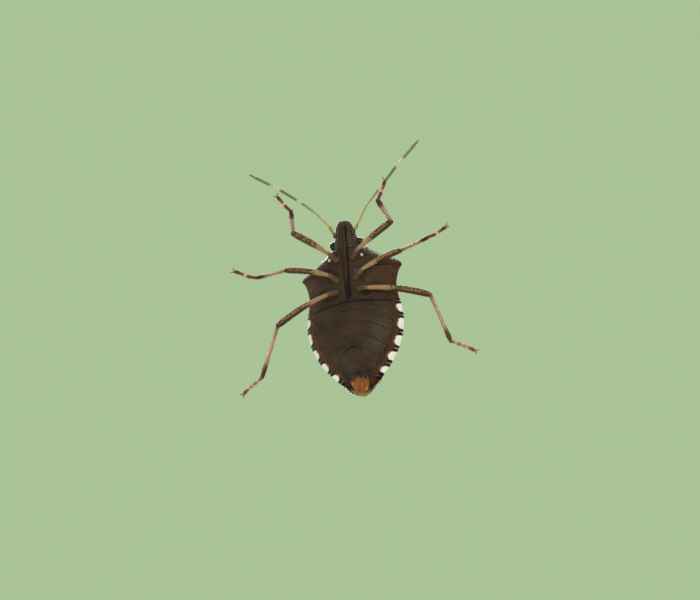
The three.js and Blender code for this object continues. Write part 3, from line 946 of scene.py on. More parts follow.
# %% Leg places
# Hip and trochanter of a left leg; a right leg has them at the same places with x turned round.
HIPS = {
    "front": ((0.72, -5.2, 1.75), (1.25, -5.8, 1.72)),
    "middle": ((0.8, -3.35, 1.66), (1.42, -3.9, 1.66)),
    "hind": ((1.0, -2.3, 1.6), (1.75, -2.2, 1.62)),
}
LEGS = {
    "front_left": dict(
        knee=(3.98, -8.3, 3.3), ankle=(3.65, -9.13),
        foot=((3.95, -9.55), (4.35, -10.35)), claw=(4.5, -10.85)),
    "front_right": dict(
        knee=(-4.46, -8.88, 3.3), ankle=(-3.77, -9.62),
        foot=((-4.15, -10.1), (-4.55, -10.75)), claw=(-4.85, -11.2)),
    "middle_left": dict(
        knee=(4.5, -5.57, 3.3), ankle=(7.48, -5.06),
        foot=((8.1, -5.15), (8.75, -5.45)), claw=(9.25, -5.7)),
    "middle_right": dict(
        knee=(-5.4, -5.7, 3.3), ankle=(-7.26, -4.33),
        foot=((-7.85, -4.5), (-8.6, -4.95)), claw=(-9.2, -5.3)),
    "hind_left": dict(
        knee=(6.5, -1.33, 3.6), ankle=(8.34, 4.23),
        foot=((8.95, 4.6), (9.85, 5.15)), claw=(10.45, 5.6)),
    "hind_right": dict(
        knee=(-6.65, -1.05, 3.6), ankle=(-7.62, 4.43),
        foot=((-8.2, 4.85), (-8.9, 5.3)), claw=(-9.4, 5.75)),
}
for label, leg in LEGS.items():
    kind, side_name = label.split("_")
    turned = 1 if side_name == "left" else -1
    leg["hip"], leg["trochanter"] = ((turned * x, y, z) for x, y, z in HIPS[kind])
    print(label, "thigh, mm:", round(math.dist(leg["trochanter"], leg["knee"]), 2))

# %% [markdown]
# ## Underside of the thorax
#
# Six hips sit in hollows beside the middle line, and the beak lies in a furrow between them. Seams
# part the side plates, so each is a shallow groove along a curve. Hollows, furrow and seams are all
# bumps of one formula, taken off the belly's height.

# %% Thorax underside
FURROW_WIDTH = 0.3
FURROW_DEPTH = 0.14
FURROW_ENDS = (-8.75, -1.45)
HOLLOW_DEPTH = 0.08
HOLLOW_RADIUS = 0.5
HOLLOW_LIP = 0.04
SEAM_DEPTH = 0.05


def furrow_at(x, y):
    front, rear = FURROW_ENDS
    ends = smooth((y - front) / 0.3) * smooth((rear - y) / 0.25)
    return FURROW_DEPTH * hump(x, FURROW_WIDTH) * ends


def hip_hollow_at(x, y):
    hollow = np.zeros_like(x)
    for leg in LEGS.values():
        middle = (np.array(leg["hip"]) * 0.45 + np.array(leg["trochanter"]) * 0.55)[:2]
        far = np.hypot(x - middle[0], y - middle[1])
        hollow += HOLLOW_DEPTH * np.exp(-(far / HOLLOW_RADIUS) ** 4)
        hollow -= HOLLOW_LIP * hump(far - HOLLOW_RADIUS - 0.12, 0.12)
    return hollow


def seam_lines(x, y):
    """How deep in a seam a point lies, 0 to 1."""
    out = np.abs(x)
    beyond_hips = smooth((out - 0.9) / 0.3)
    first = hump(y - (-4.42 - 0.09 * (out - 1.5)), 0.05)
    second = hump(y - (-2.98 + 0.16 * (out - 1.4) - 0.03 * (out - 1.4) ** 2), 0.045)
    scent = hump(y - (-2.75 + 0.12 * (out - 1.8)), 0.035)
    scent = scent * smooth((out - 1.6) / 0.2) * smooth((2.7 - out) / 0.2)
    return np.maximum(np.maximum(first, second) * beyond_hips, 0.8 * scent)


def thorax_under(x, y):
    inside = smooth((half_width(y) - np.abs(x)) / 0.5)
    wrinkle = 0.012 * np.sin(y * 23 + 3 * np.sin(x * 2.1)) * smooth((np.abs(x) - 1.6) / 1.0)
    raised = furrow_at(x, y) + hip_hollow_at(x, y) + SEAM_DEPTH * seam_lines(x, y) + wrinkle
    return belly_at(x, y) + raised * inside


def thorax_plan(u, v):
    front = shield_front_at(u) - 0.03
    side = mix(SHIELD_FRONT - 0.1, THORAX_REAR + 0.2, v)
    return u * (half_width(side) - 0.015), mix(front, THORAX_REAR + 0.2, v)


# A dark patch painted on the belly beside each pale knob.
def knob_dark_patch(x, y):
    return hump(np.hypot(np.abs(x) - 1.66, (y + 5.5) * 0.8), 0.16)


def furrow_painted_shade(x, y):
    """Painted shade in the furrow, darkest at its rear end, where the beak's tip lies."""
    return np.clip(8 * (furrow_at(x, y) - 0.06), 0, 0.15 + 0.8 * smooth((y + 3.1) / 0.7))


# Seams are dark joints; the darkening in the furrow is painted shade.
def thorax_dark(x, y):
    return np.maximum.reduce([furrow_painted_shade(x, y), 0.6 * seam_lines(x, y), 0.9 * knob_dark_patch(x, y)])


print("depth of the furrow, mm:", round(float(furrow_at(0.0, -5.0)), 2))

# %% [markdown]
# ### Plate under the thorax
#
# Its top lies hidden below the shield and the wings, so it only has to stay under them. Everything that
# is seen of it is relief, which takes fine steps: a picture of bumps would look flat from the side.

# %% Thorax plate
thorax = plate(
    "thorax_underside", thorax_plan,
    lambda x, y: np.minimum(edge_height(y), deck_at(x, y)),
    thorax_under, crowded(181), even(200),
    values={"side": side_of, "dark": thorax_dark},
)
finish_piece(thorax, belly_skin, "belly", "thorax")
tell(thorax)

# %% [markdown]
# ## Abdomen
#
# Five broad segments make the belly. Their seams bend forward in the middle, and each segment overlaps
# the next a little, like tiles. At the rim each seam ends in a notch between two small teeth. One
# function gives the distance to the nearest seam, and both the relief and the colours read it.

# %% Seams of the abdomen
ABDOMEN_FRONT = -1.55
SEAMS = [(-1.25, -1.36), (0.1, -0.57), (1.62, 0.5), (2.96, 1.7), (4.13, 2.67), (5.08, 4.72)]
SEAM_BEND = [1.2, 1.2, 1.2, 1.15, 0.85, 1.2]
NO_SEAM = 9.0
SPIRACLES = [(3.47, -0.68), (3.32, 0.66), (3.05, 1.98), (2.45, 3.18), (1.67, 4.13)]


def seam_at(k, across):
    at_edge, at_middle = SEAMS[k]
    return at_edge + (at_middle - at_edge) * (1 - smooth(across ** SEAM_BEND[k]))


def edge_slope(y):
    """Cosine of the outline's slope, which turns steps in x or y into distances from the outline."""
    slope = (half_width(y + 0.02) - half_width(y - 0.02)) / 0.04
    return 1 / np.sqrt(1 + slope**2)


def from_edge(x, y):
    return (half_width(y) - np.abs(x)) * edge_slope(y)


def from_seam(x, y):
    """Signed distance to the nearest seam, in mm along the rim: above 0 behind it."""
    across = side_of(x, y)
    best = np.full(np.shape(x), NO_SEAM)
    for k in range(len(SEAMS)):
        gap = y - seam_at(k, across)
        best = np.where(np.abs(gap) < np.abs(best), gap, best)
    return best / mix(1.0, edge_slope(y), across**4)


print("segments of the abdomen:", len(SEAMS) - 1)

# %% [markdown]
# ### Relief of the abdomen
#
# Each breathing hole has a raised lip, and low ripples cross the plates. The rim is toothed where two
# segments meet. All of it fades out at the outline, so the skin still closes there.

# %% Skin of the abdomen
HOLE_RADIUS = 0.085
HOLE_DEPTH = 0.06
LIP_HEIGHT = 0.02
GROOVE_DEPTH = 0.045
GROOVE_WIDTH = 0.05
STEP_HEIGHT = 0.03
COLLAR_HEIGHT = 0.05
RIPPLE_HEIGHT = 0.006
TOOTH_LENGTH = 0.045
NOTCH_DEPTH = 0.1


def spiracle_at(x, y):
    """1 inside a breathing hole, and a second value for its raised lip."""
    hole, lip = np.zeros_like(x), np.zeros_like(x)
    for px, py in SPIRACLES:
        far = np.hypot(np.abs(x) - px, (y - py) * 0.8)
        hole += np.exp(-(far / HOLE_RADIUS) ** 4)
        lip += hump(far - 0.12, 0.035)
    return hole, lip


def abdomen_under(x, y):
    gap, across = from_seam(x, y), side_of(x, y)
    groove = GROOVE_DEPTH * hump(gap, GROOVE_WIDTH) * mix(1.0, 0.4, smooth((across - 0.35) / 0.4))
    step = STEP_HEIGHT * np.where(gap > 0, np.exp(-gap / 0.3), 0) * mix(1.0, 0.5, across)
    hole, lip = spiracle_at(x, y)
    inside = smooth(from_edge(x, y) / 0.25)
    collar = COLLAR_HEIGHT * hump(from_edge(x, y) - 0.5, 0.1) * smooth((4.9 - y) / 0.4)
    ripple = RIPPLE_HEIGHT * np.sin(y * 31 + 2 * np.sin(x * 0.9)) * smooth((0.75 - across) / 0.3)
    relief_here = groove + step + HOLE_DEPTH * hole - LIP_HEIGHT * lip + collar + ripple
    return np.minimum(belly_at(x, y) + relief_here * inside, edge_height(y))


def abdomen_plan(u, v):
    y = mix(ABDOMEN_FRONT, ABDOMEN_TIP - 0.02, v)
    width = half_width(y)
    gap = from_seam(width, y)
    tooth = TOOTH_LENGTH * hump(np.abs(gap) - 0.14, 0.07)
    notch = NOTCH_DEPTH * hump(gap, 0.04)
    fades = smooth((5.6 - y) / 0.5)
    return u * (width - 0.02 + (tooth - notch) * fades), y


def marked_at(x, y):
    """Where the rim has pale marks: not beyond the last segment, nor in front of the first."""
    return smooth((LAST_MARK - y) / 0.1) * smooth((y + 1.5) / 0.1)


print("notched width at y = 0, mm:", round(float(abdomen_plan(1.0, 0.2)[0]), 2))

# %% [markdown]
# ### Dark marks of the abdomen
#
# Seams, breathing holes and the last segments are darker than the rest. A band along the first seam,
# at the border with the thorax, is painted shadow. Each mark is a bump between 0 and 1, and the
# strongest one counts, so that marks that cross don't add up to black.

# %% Marks and mesh of the abdomen


def abdomen_dark(x, y):
    gap, across = from_seam(x, y), side_of(x, y)
    line = 0.26 * hump(gap, GROOVE_WIDTH) * smooth((0.85 - across) / 0.3)
    arch = 0.9 * hump(y - seam_at(4, across), 0.07) * smooth((0.95 - np.abs(x)) / 0.5)
    # Painted shadow along the border with the thorax.
    front = 0.9 * hump(y - seam_at(0, across) - 0.03, 0.13)
    flanks = 0.75 * hump(np.hypot((np.abs(x) - 0.95) * 1.1, (y - 4.95) * 0.9), 0.42)
    base = 0.7 * hump(np.hypot(x * 0.7, y - 4.78), 0.34)
    flanks = np.maximum(flanks, 0.8 * smooth((y - LAST_MARK + 0.1) / 0.1))
    hole, _ = spiracle_at(x, y)
    return np.clip(np.maximum.reduce([line, arch, front, flanks, base, 0.95 * hole]), 0, 1)


abdomen = plate(
    "abdomen_skin", abdomen_plan, deck_at, abdomen_under, crowded(241), even(420),
    values={
        "side": side_of, "dark": abdomen_dark, "marked": marked_at,
        "edge": from_edge, "joint": lambda x, y: np.abs(from_seam(x, y)),
    },
)
finish_piece(abdomen, abdomen_skin, "abdomen", "abdomen")
tell(abdomen)

# %% [markdown]
# ## Head
#
# The head is a small flat box with a rounded front. From above, two grooves part the middle lobe from
# the cheeks. From below, a low ridge stands on either side of the beak's furrow.

# %% Head
BROW_TIP = -8.9
NECK = -6.3
HEAD_GROOVE_DEPTH = 0.05
CHEEK_HEIGHT = 0.03
CHIN_RIDGE = 0.1
head_width = profile([
    (-8.9, 0.4), (-8.75, 0.6), (-8.4, 0.76), (-7.9, 0.86), (-7.4, 1.0), (-7.0, 1.12), (-6.5, 1.15),
    (-6.0, 1.1),
])
head_top = profile([(-8.9, 3.1), (-8.4, 3.45), (-7.5, 3.95), (-6.4, 4.35), (-6, 4.45)])
head_under = profile([(-8.9, 2.75), (-8.5, 2.5), (-7.5, 2.25), (-6.4, 2.15), (-6, 2.15)])


def head_side(x, y):
    return np.minimum(1, np.abs(x) / head_width(y))


def head_dome(height, power, x, y):
    round_in = 1 - head_side(x, y) ** power
    return edge_height(y) + (height(y) - edge_height(y)) * round_in**0.6


def head_top_at(x, y):
    lobe = hump(np.abs(x) - mix(0.2, 0.3, np.clip((y - BROW_TIP) / 1.5, 0, 1)), 0.035)
    grooves = -HEAD_GROOVE_DEPTH * lobe * smooth((-7.2 - y) / 0.6)
    cheeks = CHEEK_HEIGHT * hump(np.abs(x) - 0.5, 0.18)
    return head_dome(head_top, 2.4, x, y) + (grooves + cheeks) * (1 - head_side(x, y) ** 8)


def head_under_at(x, y):
    ridge = -CHIN_RIDGE * hump(np.abs(x) - 0.34, 0.09) * smooth((-6.9 - y) / 0.5)
    inside = 1 - head_side(x, y) ** 8
    return head_dome(head_under, 2.2, x, y) + (furrow_at(x, y) + ridge) * inside


def head_plan(u, v):
    y = mix(BROW_TIP, NECK, v**1.3)
    return u * head_width(y), y


head = plate(
    "head_skin", head_plan, head_top_at, head_under_at, crowded(101), even(110),
    values={"dark": furrow_painted_shade, "side": head_side},
)
finish_piece(head, head_skin, "back", "head")
tell(head)

# %% [markdown]
# ### Eyes, simple eyes and feeler roots
#
# These are egg-shaped lumps sunk into the head. A lump is a stack of rings like every other skin, so
# that it is closed and takes the same treatment. The two simple eyes on the crown are tiny beads.

# %% Rounded lumps
POLE_GAP = 0.04


def lump(name, centre, radii, rows, sides, flat=0.0):
    """An egg-shaped body of rings along x; flat pulls its poles in a little."""
    around = np.linspace(0, 2 * math.pi, sides, endpoint=False)
    rings = []
    for turn in np.linspace(POLE_GAP, math.pi - POLE_GAP, rows):
        wide = math.sin(turn) ** (1 - flat)
        rings.append(np.stack([
            np.full(sides, centre[0] + radii[0] * math.cos(turn)),
            centre[1] + radii[1] * wide * np.cos(around),
            centre[2] + radii[2] * wide * np.sin(around),
        ], -1))
    return ring_mesh(name, rings, {})


SIDES = (("left", 1), ("right", -1))
for side_name, side in SIDES:
    eye = lump("eye_%s_gloss" % side_name, (side * 1.02, -7.05, 3.4), (0.46, 0.4, 0.42), 28, 36, 0.15)
    finish_piece(eye, eye_gloss, "eye", "eye_" + side_name)
    spot = lump("ocellus_" + side_name, (side * 0.47, -6.72, 4.26), (0.09, 0.09, 0.07), 12, 18)
    finish_piece(spot, ocellus_gloss, "eye")
    root = lump("feeler_root_" + side_name, (side * 0.82, -7.75, 2.78), (0.17, 0.24, 0.17), 18, 24)
    finish_piece(root, head_skin, "feeler")
    tell(eye, spot, root)

# %% [markdown]
# ## Tubes along a path
#
# Legs, feelers and beak are tubes with a changing width. A frame is carried along the path so that
# the tube doesn't twist, and both ends are closed by a few shrinking rings, which makes them round.

# %% Paths
LENGTHWISE = 48
STEPS_BETWEEN = 24


def smooth_path(points, count):
    """Evenly spaced points on a Catmull-Rom curve through the given ones."""
    points = np.asarray(points, float)
    ends = np.vstack([2 * points[0] - points[1], points, 2 * points[-1] - points[-2]])
    dense = []
    for i in range(1, len(ends) - 2):
        a, b, c, d = ends[i - 1:i + 3]
        square, cube = 2 * a - 5 * b + 4 * c - d, 3 * b - a - 3 * c + d
        for t in np.linspace(0, 1, STEPS_BETWEEN, endpoint=False):
            dense.append(0.5 * (2 * b + (c - a) * t + square * t**2 + cube * t**3))
    dense.append(points[-1])
    dense = np.array(dense)
    run = np.concatenate([[0], np.cumsum(np.linalg.norm(np.diff(dense, axis=0), axis=1))])
    places = np.linspace(0, run[-1], count)
    return np.stack([np.interp(places, run, dense[:, k]) for k in range(3)], -1)


def frames_along(path):
    ahead = np.gradient(path, axis=0)
    ahead /= np.linalg.norm(ahead, axis=1)[:, None]
    side = np.cross(ahead[0], (0, 0, 1.0))
    side /= np.linalg.norm(side)
    sides = []
    for direction in ahead:
        side = side - direction * side.dot(direction)
        side /= np.linalg.norm(side)
        sides.append(side)
    sides = np.array(sides)
    return ahead, sides, np.cross(sides, ahead)


bend = smooth_path([(0, 0, 0), (1, 1, 0), (2, 0, 0)], LENGTHWISE)
print("a bend of", len(bend), "points is highest at", np.round(bend[:, 1].max(), 2))

# %% [markdown]
# ### Rings round a path
#
# The tube's section is round, flattened or slightly fluted, like the ridged shins of the real bug. A
# band of colour is a curve along the tube, and may also depend on the turn round it.

# %% Tubes
DOME_STEPS = 6
DOME_LENGTH = 0.7


def tube_rings(path, radii, sides, flatten, fluting):
    """Rings round a path, closed by round ends; also each ring's place along it, 0 to 1."""
    ahead, across, over = frames_along(path)
    along = np.linspace(0, 1, len(path))
    turns = np.linspace(0, 2 * math.pi, sides, endpoint=False)
    shape = 1 - fluting * np.abs(np.sin(2 * turns)) ** 3
    rings, places = [], []

    def ring(i, shift, shrink):
        centre = path[i] + ahead[i] * shift * radii[i]
        wide = (radii[i] * shrink * shape)[:, None]
        section = np.cos(turns)[:, None] * across[i] + flatten * np.sin(turns)[:, None] * over[i]
        rings.append(centre + wide * section)
        places.append(along[i])

    dome = [(math.sin(a), math.cos(a)) for a in np.linspace(math.pi / 2.1, 0.25, DOME_STEPS)]
    for shift, shrink in dome:
        ring(0, -DOME_LENGTH * shift, shrink)
    for i in range(len(path)):
        ring(i, 0, 1)
    for shift, shrink in reversed(dome):
        ring(len(path) - 1, DOME_LENGTH * shift, shrink)
    return np.array(rings), np.array(places)


def limb(name, points, radius, bands, sides=24, flatten=1.0, fluting=0.0, count=LENGTHWISE):
    """A tube whose radius is a function of the place along it.

    A band is a number, or a function of that place and of the turn round the tube. A turn of
    3/2 pi is the underside.
    """
    rings, places = tube_rings(
        smooth_path(points, count), radius(np.linspace(0, 1, count)), sides, flatten, fluting,
    )
    place = places[:, None]
    turn = np.linspace(0, 2 * math.pi, sides, endpoint=False)[None, :]
    values = {}
    for key, rule in bands.items():
        numbers = rule(place, turn) if callable(rule) else rule
        values[key] = np.broadcast_to(numbers, (len(places), sides))
    return ring_mesh(name, rings, values)


def lengthwise(curve):
    """A band that changes along the tube only."""
    return lambda place, turn: curve(place)


def with_shaded_flanks(curve, strength, start=0.3):
    """A band that also paints shade on the two flanks, from a place along the tube onwards."""
    def rule(place, turn):
        flank = strength * smooth((np.abs(np.cos(turn)) - 0.35) / 0.4)
        return np.clip(curve(place) + flank * smooth((place - start) / 0.12), 0, 1)
    return rule


print("rings of an ordinary limb:", LENGTHWISE + 2 * DOME_STEPS)

# %% [markdown]
# ### Beak
#
# The beak is a jointed straw that lies in its furrow, from the brow to behind the hind hips. It narrows
# towards its black tip, with a waist at each of three joints and a dark line where the needles run.

# %% Beak
BEAK_PATH = [
    (0, -8.4, 2.45), (0, -7.6, 2.2), (0, -6.6, 2.04), (0, -5.4, 1.92), (0, -4, 1.8), (0, -2.6, 1.66),
    (0, -1.75, 1.62),
]
BEAK_JOINTS = (0.24, 0.5, 0.76)
BEAK_WAIST = 0.3
beak_radius = profile([(0, 0.2), (0.2, 0.2), (0.5, 0.17), (0.75, 0.15), (0.93, 0.12), (1, 0.06)])


def beak_width(t):
    waist = sum(BEAK_WAIST * hump(t - joint, 0.012) for joint in BEAK_JOINTS)
    return beak_radius(t) * (1 - waist)


def beak_dark(place, turn):
    """A dark line along the underside, where the needles run, and an all-dark tip."""
    line = hump(turn - 1.5 * math.pi, 0.26) * smooth((place - 0.02) / 0.03)
    return np.clip(np.maximum(line, smooth((place - 0.74) / 0.12)), 0, 1)


beak = limb(
    "beak_skin", BEAK_PATH, beak_width, {"dark": beak_dark, "side": 0.3},
    sides=40, flatten=0.8, count=120,
)
finish_piece(beak, belly_skin, "belly", "beak")
tell(beak)

# %% [markdown]
# ### Tail plates
#
# Small amber plates close the tip of the abdomen. They let light through and have dark streaks along
# them. A picture could give the streaks, but stretched noise does it without one.

# %% Amber finish
AMBER = rgb(150, 86, 8)
amber_horn, tree = new_material("amber_horn")
place = object_place(tree)
streaks = use_group(tree, MOTTLE, stretched(tree, place, (3.5, 0.6, 1)), Per_mm=1.3)
# Pale spots on the amber are painted highlights for the glints on its gloss.
amber_glint_drops = use_group(tree, MOTTLE, place, Per_mm=2.4)
pale = ramp_between(tree, amber_glint_drops.outputs["Coarse"], 0.7, 1.1)
streak = ramp_between(tree, streaks.outputs["Fine"], 0.35, 0.9, 0, 0.9)
colour = layered(
    tree, AMBER, (pale, rgb(214, 160, 74)), (streak, rgb(84, 38, 8)),
    (attribute(tree, "dark"), rgb(44, 20, 12)),
)
shader = skin_shader(tree, 0.32, coat=0.12, specular=0.25)
light_inside(shader, 0.3, (1.0, 0.6, 0.25), 0.08)
link(tree, colour, shader.inputs["Base Color"])
relief(tree, streaks.outputs["Coarse"], 0.012, shader)
print("nodes in the amber finish:", len(tree.nodes))

# %% [markdown]
# ### Shapes of the tail plates
#
# The middle lobe stands lowest, and each pair beside it lies a little higher, as the scales of a bud do.

# %% Lobes
# Start and end in plan, half width, and how far the lobe stands below the belly.
TAIL_PLATES = [
    ("middle", (0.0, 4.95), (0.0, 6.28), 0.2, 0.1),
    ("inner_left", (0.3, 4.95), (0.16, 6.24), 0.26, 0.05),
    ("inner_right", (-0.3, 4.95), (-0.16, 6.24), 0.26, 0.05),
    ("outer_left", (0.64, 5.0), (0.3, 6.12), 0.28, 0.0),
    ("outer_right", (-0.64, 5.0), (-0.3, 6.12), 0.28, 0.0),
]
PLATE_LIFT = 0.12
PLATES_LEVEL_FROM = 5.7
plate_swell = profile([(0, 0.45), (0.25, 0.9), (0.55, 1.0), (0.9, 0.75), (1, 0.5)])


def plate_dark(place, turn):
    root = 0.95 * smooth((0.32 - place) / 0.3)
    flank = 0.45 * smooth((np.abs(np.cos(turn)) - 0.85) / 0.15)
    return np.clip(root + flank, 0, 1)


for part, start, end, half, proud in TAIL_PLATES:
    path = []
    for t in np.linspace(0, 1, 5):
        x, y = mix(start[0], end[0], t), mix(start[1], end[1], t)
        under_belly = float(belly_at(x, min(y, PLATES_LEVEL_FROM))) + PLATE_LIFT - proud
        path.append((x, y, under_belly))
    lobe = limb(
        "tail_plate_" + part, path, lambda t, half=half: half * plate_swell(t),
        {"dark": plate_dark}, sides=28, flatten=0.75, count=40,
    )
    finish_piece(lobe, amber_horn, "abdomen")
    tell(lobe)

# %% [markdown]
# ## Legs
#
# Each leg is a short hip, a spindle-shaped thigh, a slim shin and a foot of three joints with two claws.
# Thigh and shin are pale at the root and thickly speckled further out. Curves along the leg give its
# thickness and its colours, because the eye reads a leg by where it swells and darkens.

# %% Curves of the legs
THIGH = {
    "front": profile([(0, 0.16), (0.2, 0.21), (0.6, 0.295), (0.85, 0.3), (1, 0.24)]),
    "middle": profile([(0, 0.16), (0.2, 0.2), (0.6, 0.27), (0.87, 0.27), (1, 0.2)]),
    "hind": profile([(0, 0.17), (0.25, 0.21), (0.65, 0.29), (0.88, 0.285), (1, 0.215)]),
}
SHIN = {
    "front": profile([(0, 0.18), (0.08, 0.165), (0.5, 0.185), (0.82, 0.23), (1, 0.19)]),
    "middle": profile([(0, 0.165), (0.06, 0.145), (0.5, 0.145), (0.9, 0.185), (1, 0.155)]),
    "hind": profile([(0, 0.18), (0.06, 0.155), (0.5, 0.165), (0.88, 0.205), (1, 0.165)]),
}
BOW = {"front": 0.08, "middle": 0.16, "hind": 0.25}
ANKLE_HEIGHT = 0.3
FOOT_RADIUS = 0.145
thigh_specks = profile([(0, 0.0), (0.25, 0.1), (0.4, 0.8), (0.9, 1.0), (1, 0.6)])
thigh_dark = profile([(0, 0.12), (0.2, 0.05), (0.86, 0.05), (0.94, 0.5), (1, 0.3)])
thigh_red = profile([(0, 0.1), (0.35, 0.2), (0.5, 0.7), (1, 0.8)])
shin_specks = profile([(0, 0.7), (0.15, 0.3), (0.5, 0.15), (0.75, 0.35), (1, 0.8)])
shin_dark = profile([(0, 0.35), (0.1, 0.2), (0.25, 0.0), (0.7, 0.0), (0.84, 0.5), (1, 0.75)])
shin_red = profile([(0, 0.7), (0.2, 0.15), (0.5, 0.05), (0.72, 0.3), (0.85, 0.9), (1, 0.9)])
print("thickest thigh, mm:", 2 * max(float(THIGH[kind](0.85)) for kind in THIGH))

# %% [markdown]
# ### Hips, thighs and shins
#
# A thigh bows forwards and a shin rises a little in its middle. Painted shade makes the flanks darker
# than the ridge, so that a round leg looks round even in even light.

# %% Legs


def lifted(xy, z):
    return (xy[0], xy[1], z)


def thigh_path(leg, kind):
    """From trochanter to knee, bowed forwards and a little upwards."""
    start, end = np.array(leg["trochanter"]), np.array(leg["knee"])
    points = []
    for t in np.linspace(0, 1, 7):
        bow = 4 * t * (1 - t)
        points.append(mix(start, end, t) + np.array((0, -BOW[kind] * bow, 0.05 * bow)))
    return points


def shin_path(leg):
    knee, ankle = np.array(leg["knee"]), np.array(lifted(leg["ankle"], ANKLE_HEIGHT))
    return [knee, mix(knee, ankle, 0.5) + np.array((0, 0, 0.06)), ankle]


def shades(dark, red, specks):
    return {"dark": dark, "red": red, "specks": specks}


def add_thigh(label, leg, kind):
    bands = shades(with_shaded_flanks(thigh_dark, 0.9), lengthwise(thigh_red), lengthwise(thigh_specks))
    made = limb(label + "_thigh", thigh_path(leg, kind), THIGH[kind], bands, fluting=0.05)
    finish_piece(made, leg_horn, "leg", label + "_femur")


def add_shin(label, leg, kind):
    bands = shades(with_shaded_flanks(shin_dark, 0.3, 0.0), lengthwise(shin_red), lengthwise(shin_specks))
    made = limb(label + "_shin", shin_path(leg), SHIN[kind], bands, fluting=0.12)
    finish_piece(made, shin_horn, "leg", label + "_tibia")


def hip_width(t):
    return np.interp(t, [0, 0.45, 0.62, 0.72, 0.85, 1], [0.3, 0.25, 0.21, 0.19, 0.2, 0.16])


def hip_dark(place, turn):
    return 0.88 - 0.5 * smooth((place - 0.4) / 0.6) + 0.1 * hump(place - 0.68, 0.05)


def add_hip(label, leg):
    start, end = np.array(leg["hip"]), np.array(leg["trochanter"])
    inner = start + (start - end) * 0.1 + np.array((0, 0, 0.2))
    path = [inner, start * 0.5 + end * 0.5, end]
    made = limb(label + "_hip", path, hip_width, shades(hip_dark, 0.6, 0.5), count=40)
    finish_piece(made, leg_horn, "leg", label + "_coxa")


for label, leg in LEGS.items():
    kind = label.split("_")[0]
    add_hip(label, leg)
    add_thigh(label, leg, kind)
    add_shin(label, leg, kind)

# %% [markdown]
# ### Feet
#
# A foot has three joints: a long one, a short one and a last one that carries two hooked claws with a
# soft pad under each. The joints make one mesh, with narrow waists between them.

# %% Curves of the feet
FOOT_WAISTS = (0.42, 0.6)
FOOT_SWELLS = (0.34, 0.54, 0.9)
WAIST_DEPTH = 0.32
SWELL_HEIGHT = 0.14
FOOT_END = 0.6
CLAW_ROOT = 0.62
PAD_HEIGHT = 0.065
claw_width = profile([(0, 0.06), (0.5, 0.045), (1, 0.012)])
pad_width = profile([(0, 0.04), (0.6, 0.06), (1, 0.045)])
foot_dark = profile([
    (0, 0.7), (0.3, 0.6), (0.4, 0.5), (0.44, 0.0), (0.54, 0.0), (0.58, 0.6), (0.62, 0.6), (0.65, 0.1),
    (0.7, 0.3), (0.85, 0.8), (1, 0.9),
])
hind_foot_dark = profile([(0, 0.3), (0.12, 0.3), (0.2, 0.0), (0.68, 0.0), (0.85, 0.25), (1, 0.35)])
foot_red = profile([(0, 1.0), (0.42, 0.9), (0.46, 0.05), (0.54, 0.05), (0.6, 0.9), (1, 1.0)])
hind_foot_red = profile([
    (0, 0.9), (0.14, 0.8), (0.22, 0.3), (0.36, 0.8), (0.42, 0.8), (0.5, 0.2), (0.58, 0.7), (0.68, 0.3),
    (0.8, 0.9), (1, 1.0),
])


def foot_width(t):
    waist = sum(WAIST_DEPTH * hump(t - at, 0.018) for at in FOOT_WAISTS)
    swell = sum(SWELL_HEIGHT * hump(t - at, 0.07) for at in FOOT_SWELLS)
    return FOOT_RADIUS * (0.92 + swell - waist)


print("waists of a foot at", FOOT_WAISTS)

# %% [markdown]
# ### Feet and claws
#
# The feet rest on the pane, so their undersides lie near the solids' lowest level. The claws curve down
# to it, and each has its soft pad beside it.

# %% Foot meshes


def foot_points(leg):
    places = (leg["ankle"], *leg["foot"], leg["claw"])
    heights = (ANKLE_HEIGHT - 0.04, FOOT_RADIUS + 0.03, FOOT_RADIUS + 0.01, FOOT_RADIUS + 0.02)
    return [np.array(lifted(place, height)) for place, height in zip(places, heights)]


def add_foot(label, leg, hind):
    points = foot_points(leg)
    points[3] = mix(points[2], points[3], FOOT_END)
    dark = hind_foot_dark if hind else foot_dark
    red = hind_foot_red if hind else foot_red
    bands = shades(lengthwise(dark), lengthwise(red), 0.2)
    made = limb(label + "_foot", points, foot_width, bands, sides=20, flatten=0.85, count=90)
    finish_piece(made, foot_horn, "foot", label + "_tarsus")


def add_claws(label, leg):
    """Two hooks that part from the end of the foot, and a pad under each."""
    points = foot_points(leg)
    ahead = points[3] - points[2]
    ahead /= np.linalg.norm(ahead)
    across = np.cross(ahead, (0, 0, 1.0))
    root = mix(points[2], points[3], CLAW_ROOT)
    for name, side in (("a", 1), ("b", -1)):
        out = across * side
        hook = [root] + [
            lifted(root + ahead * far + out * wide, height)
            for far, wide, height in ((0.14, 0.09, 0.15), (0.25, 0.17, 0.11), (0.3, 0.25, 0.04))
        ]
        claw = limb(
            label + "_claw_" + name, hook, claw_width,
            shades(lambda place, turn: 0.6 + 0.4 * place, 1.0, 0.0), sides=12, count=16,
        )
        finish_piece(claw, foot_horn, "foot")
        soft = [
            lifted(root + ahead * far + out * wide, PAD_HEIGHT)
            for far, wide in ((0, 0.03), (0.1, 0.06), (0.17, 0.08))
        ]
        pad = limb(label + "_pad_" + name, soft, pad_width, shades(0.25, 0.6, 0.0), sides=12, count=10)
        finish_piece(pad, foot_horn, "foot")


for label, leg in LEGS.items():
    add_foot(label, leg, label.startswith("hind"))
    add_claws(label, leg)
    print(label, "foot and two claws at", leg["claw"])

# %% [markdown]
# ## Feelers
#
# Five joints, each a slim rod with a narrow neck. The third to fifth are dark with a pale ring at their
# roots, so the feeler looks banded. One tube could be cut by colour alone, but the joints bend apart.

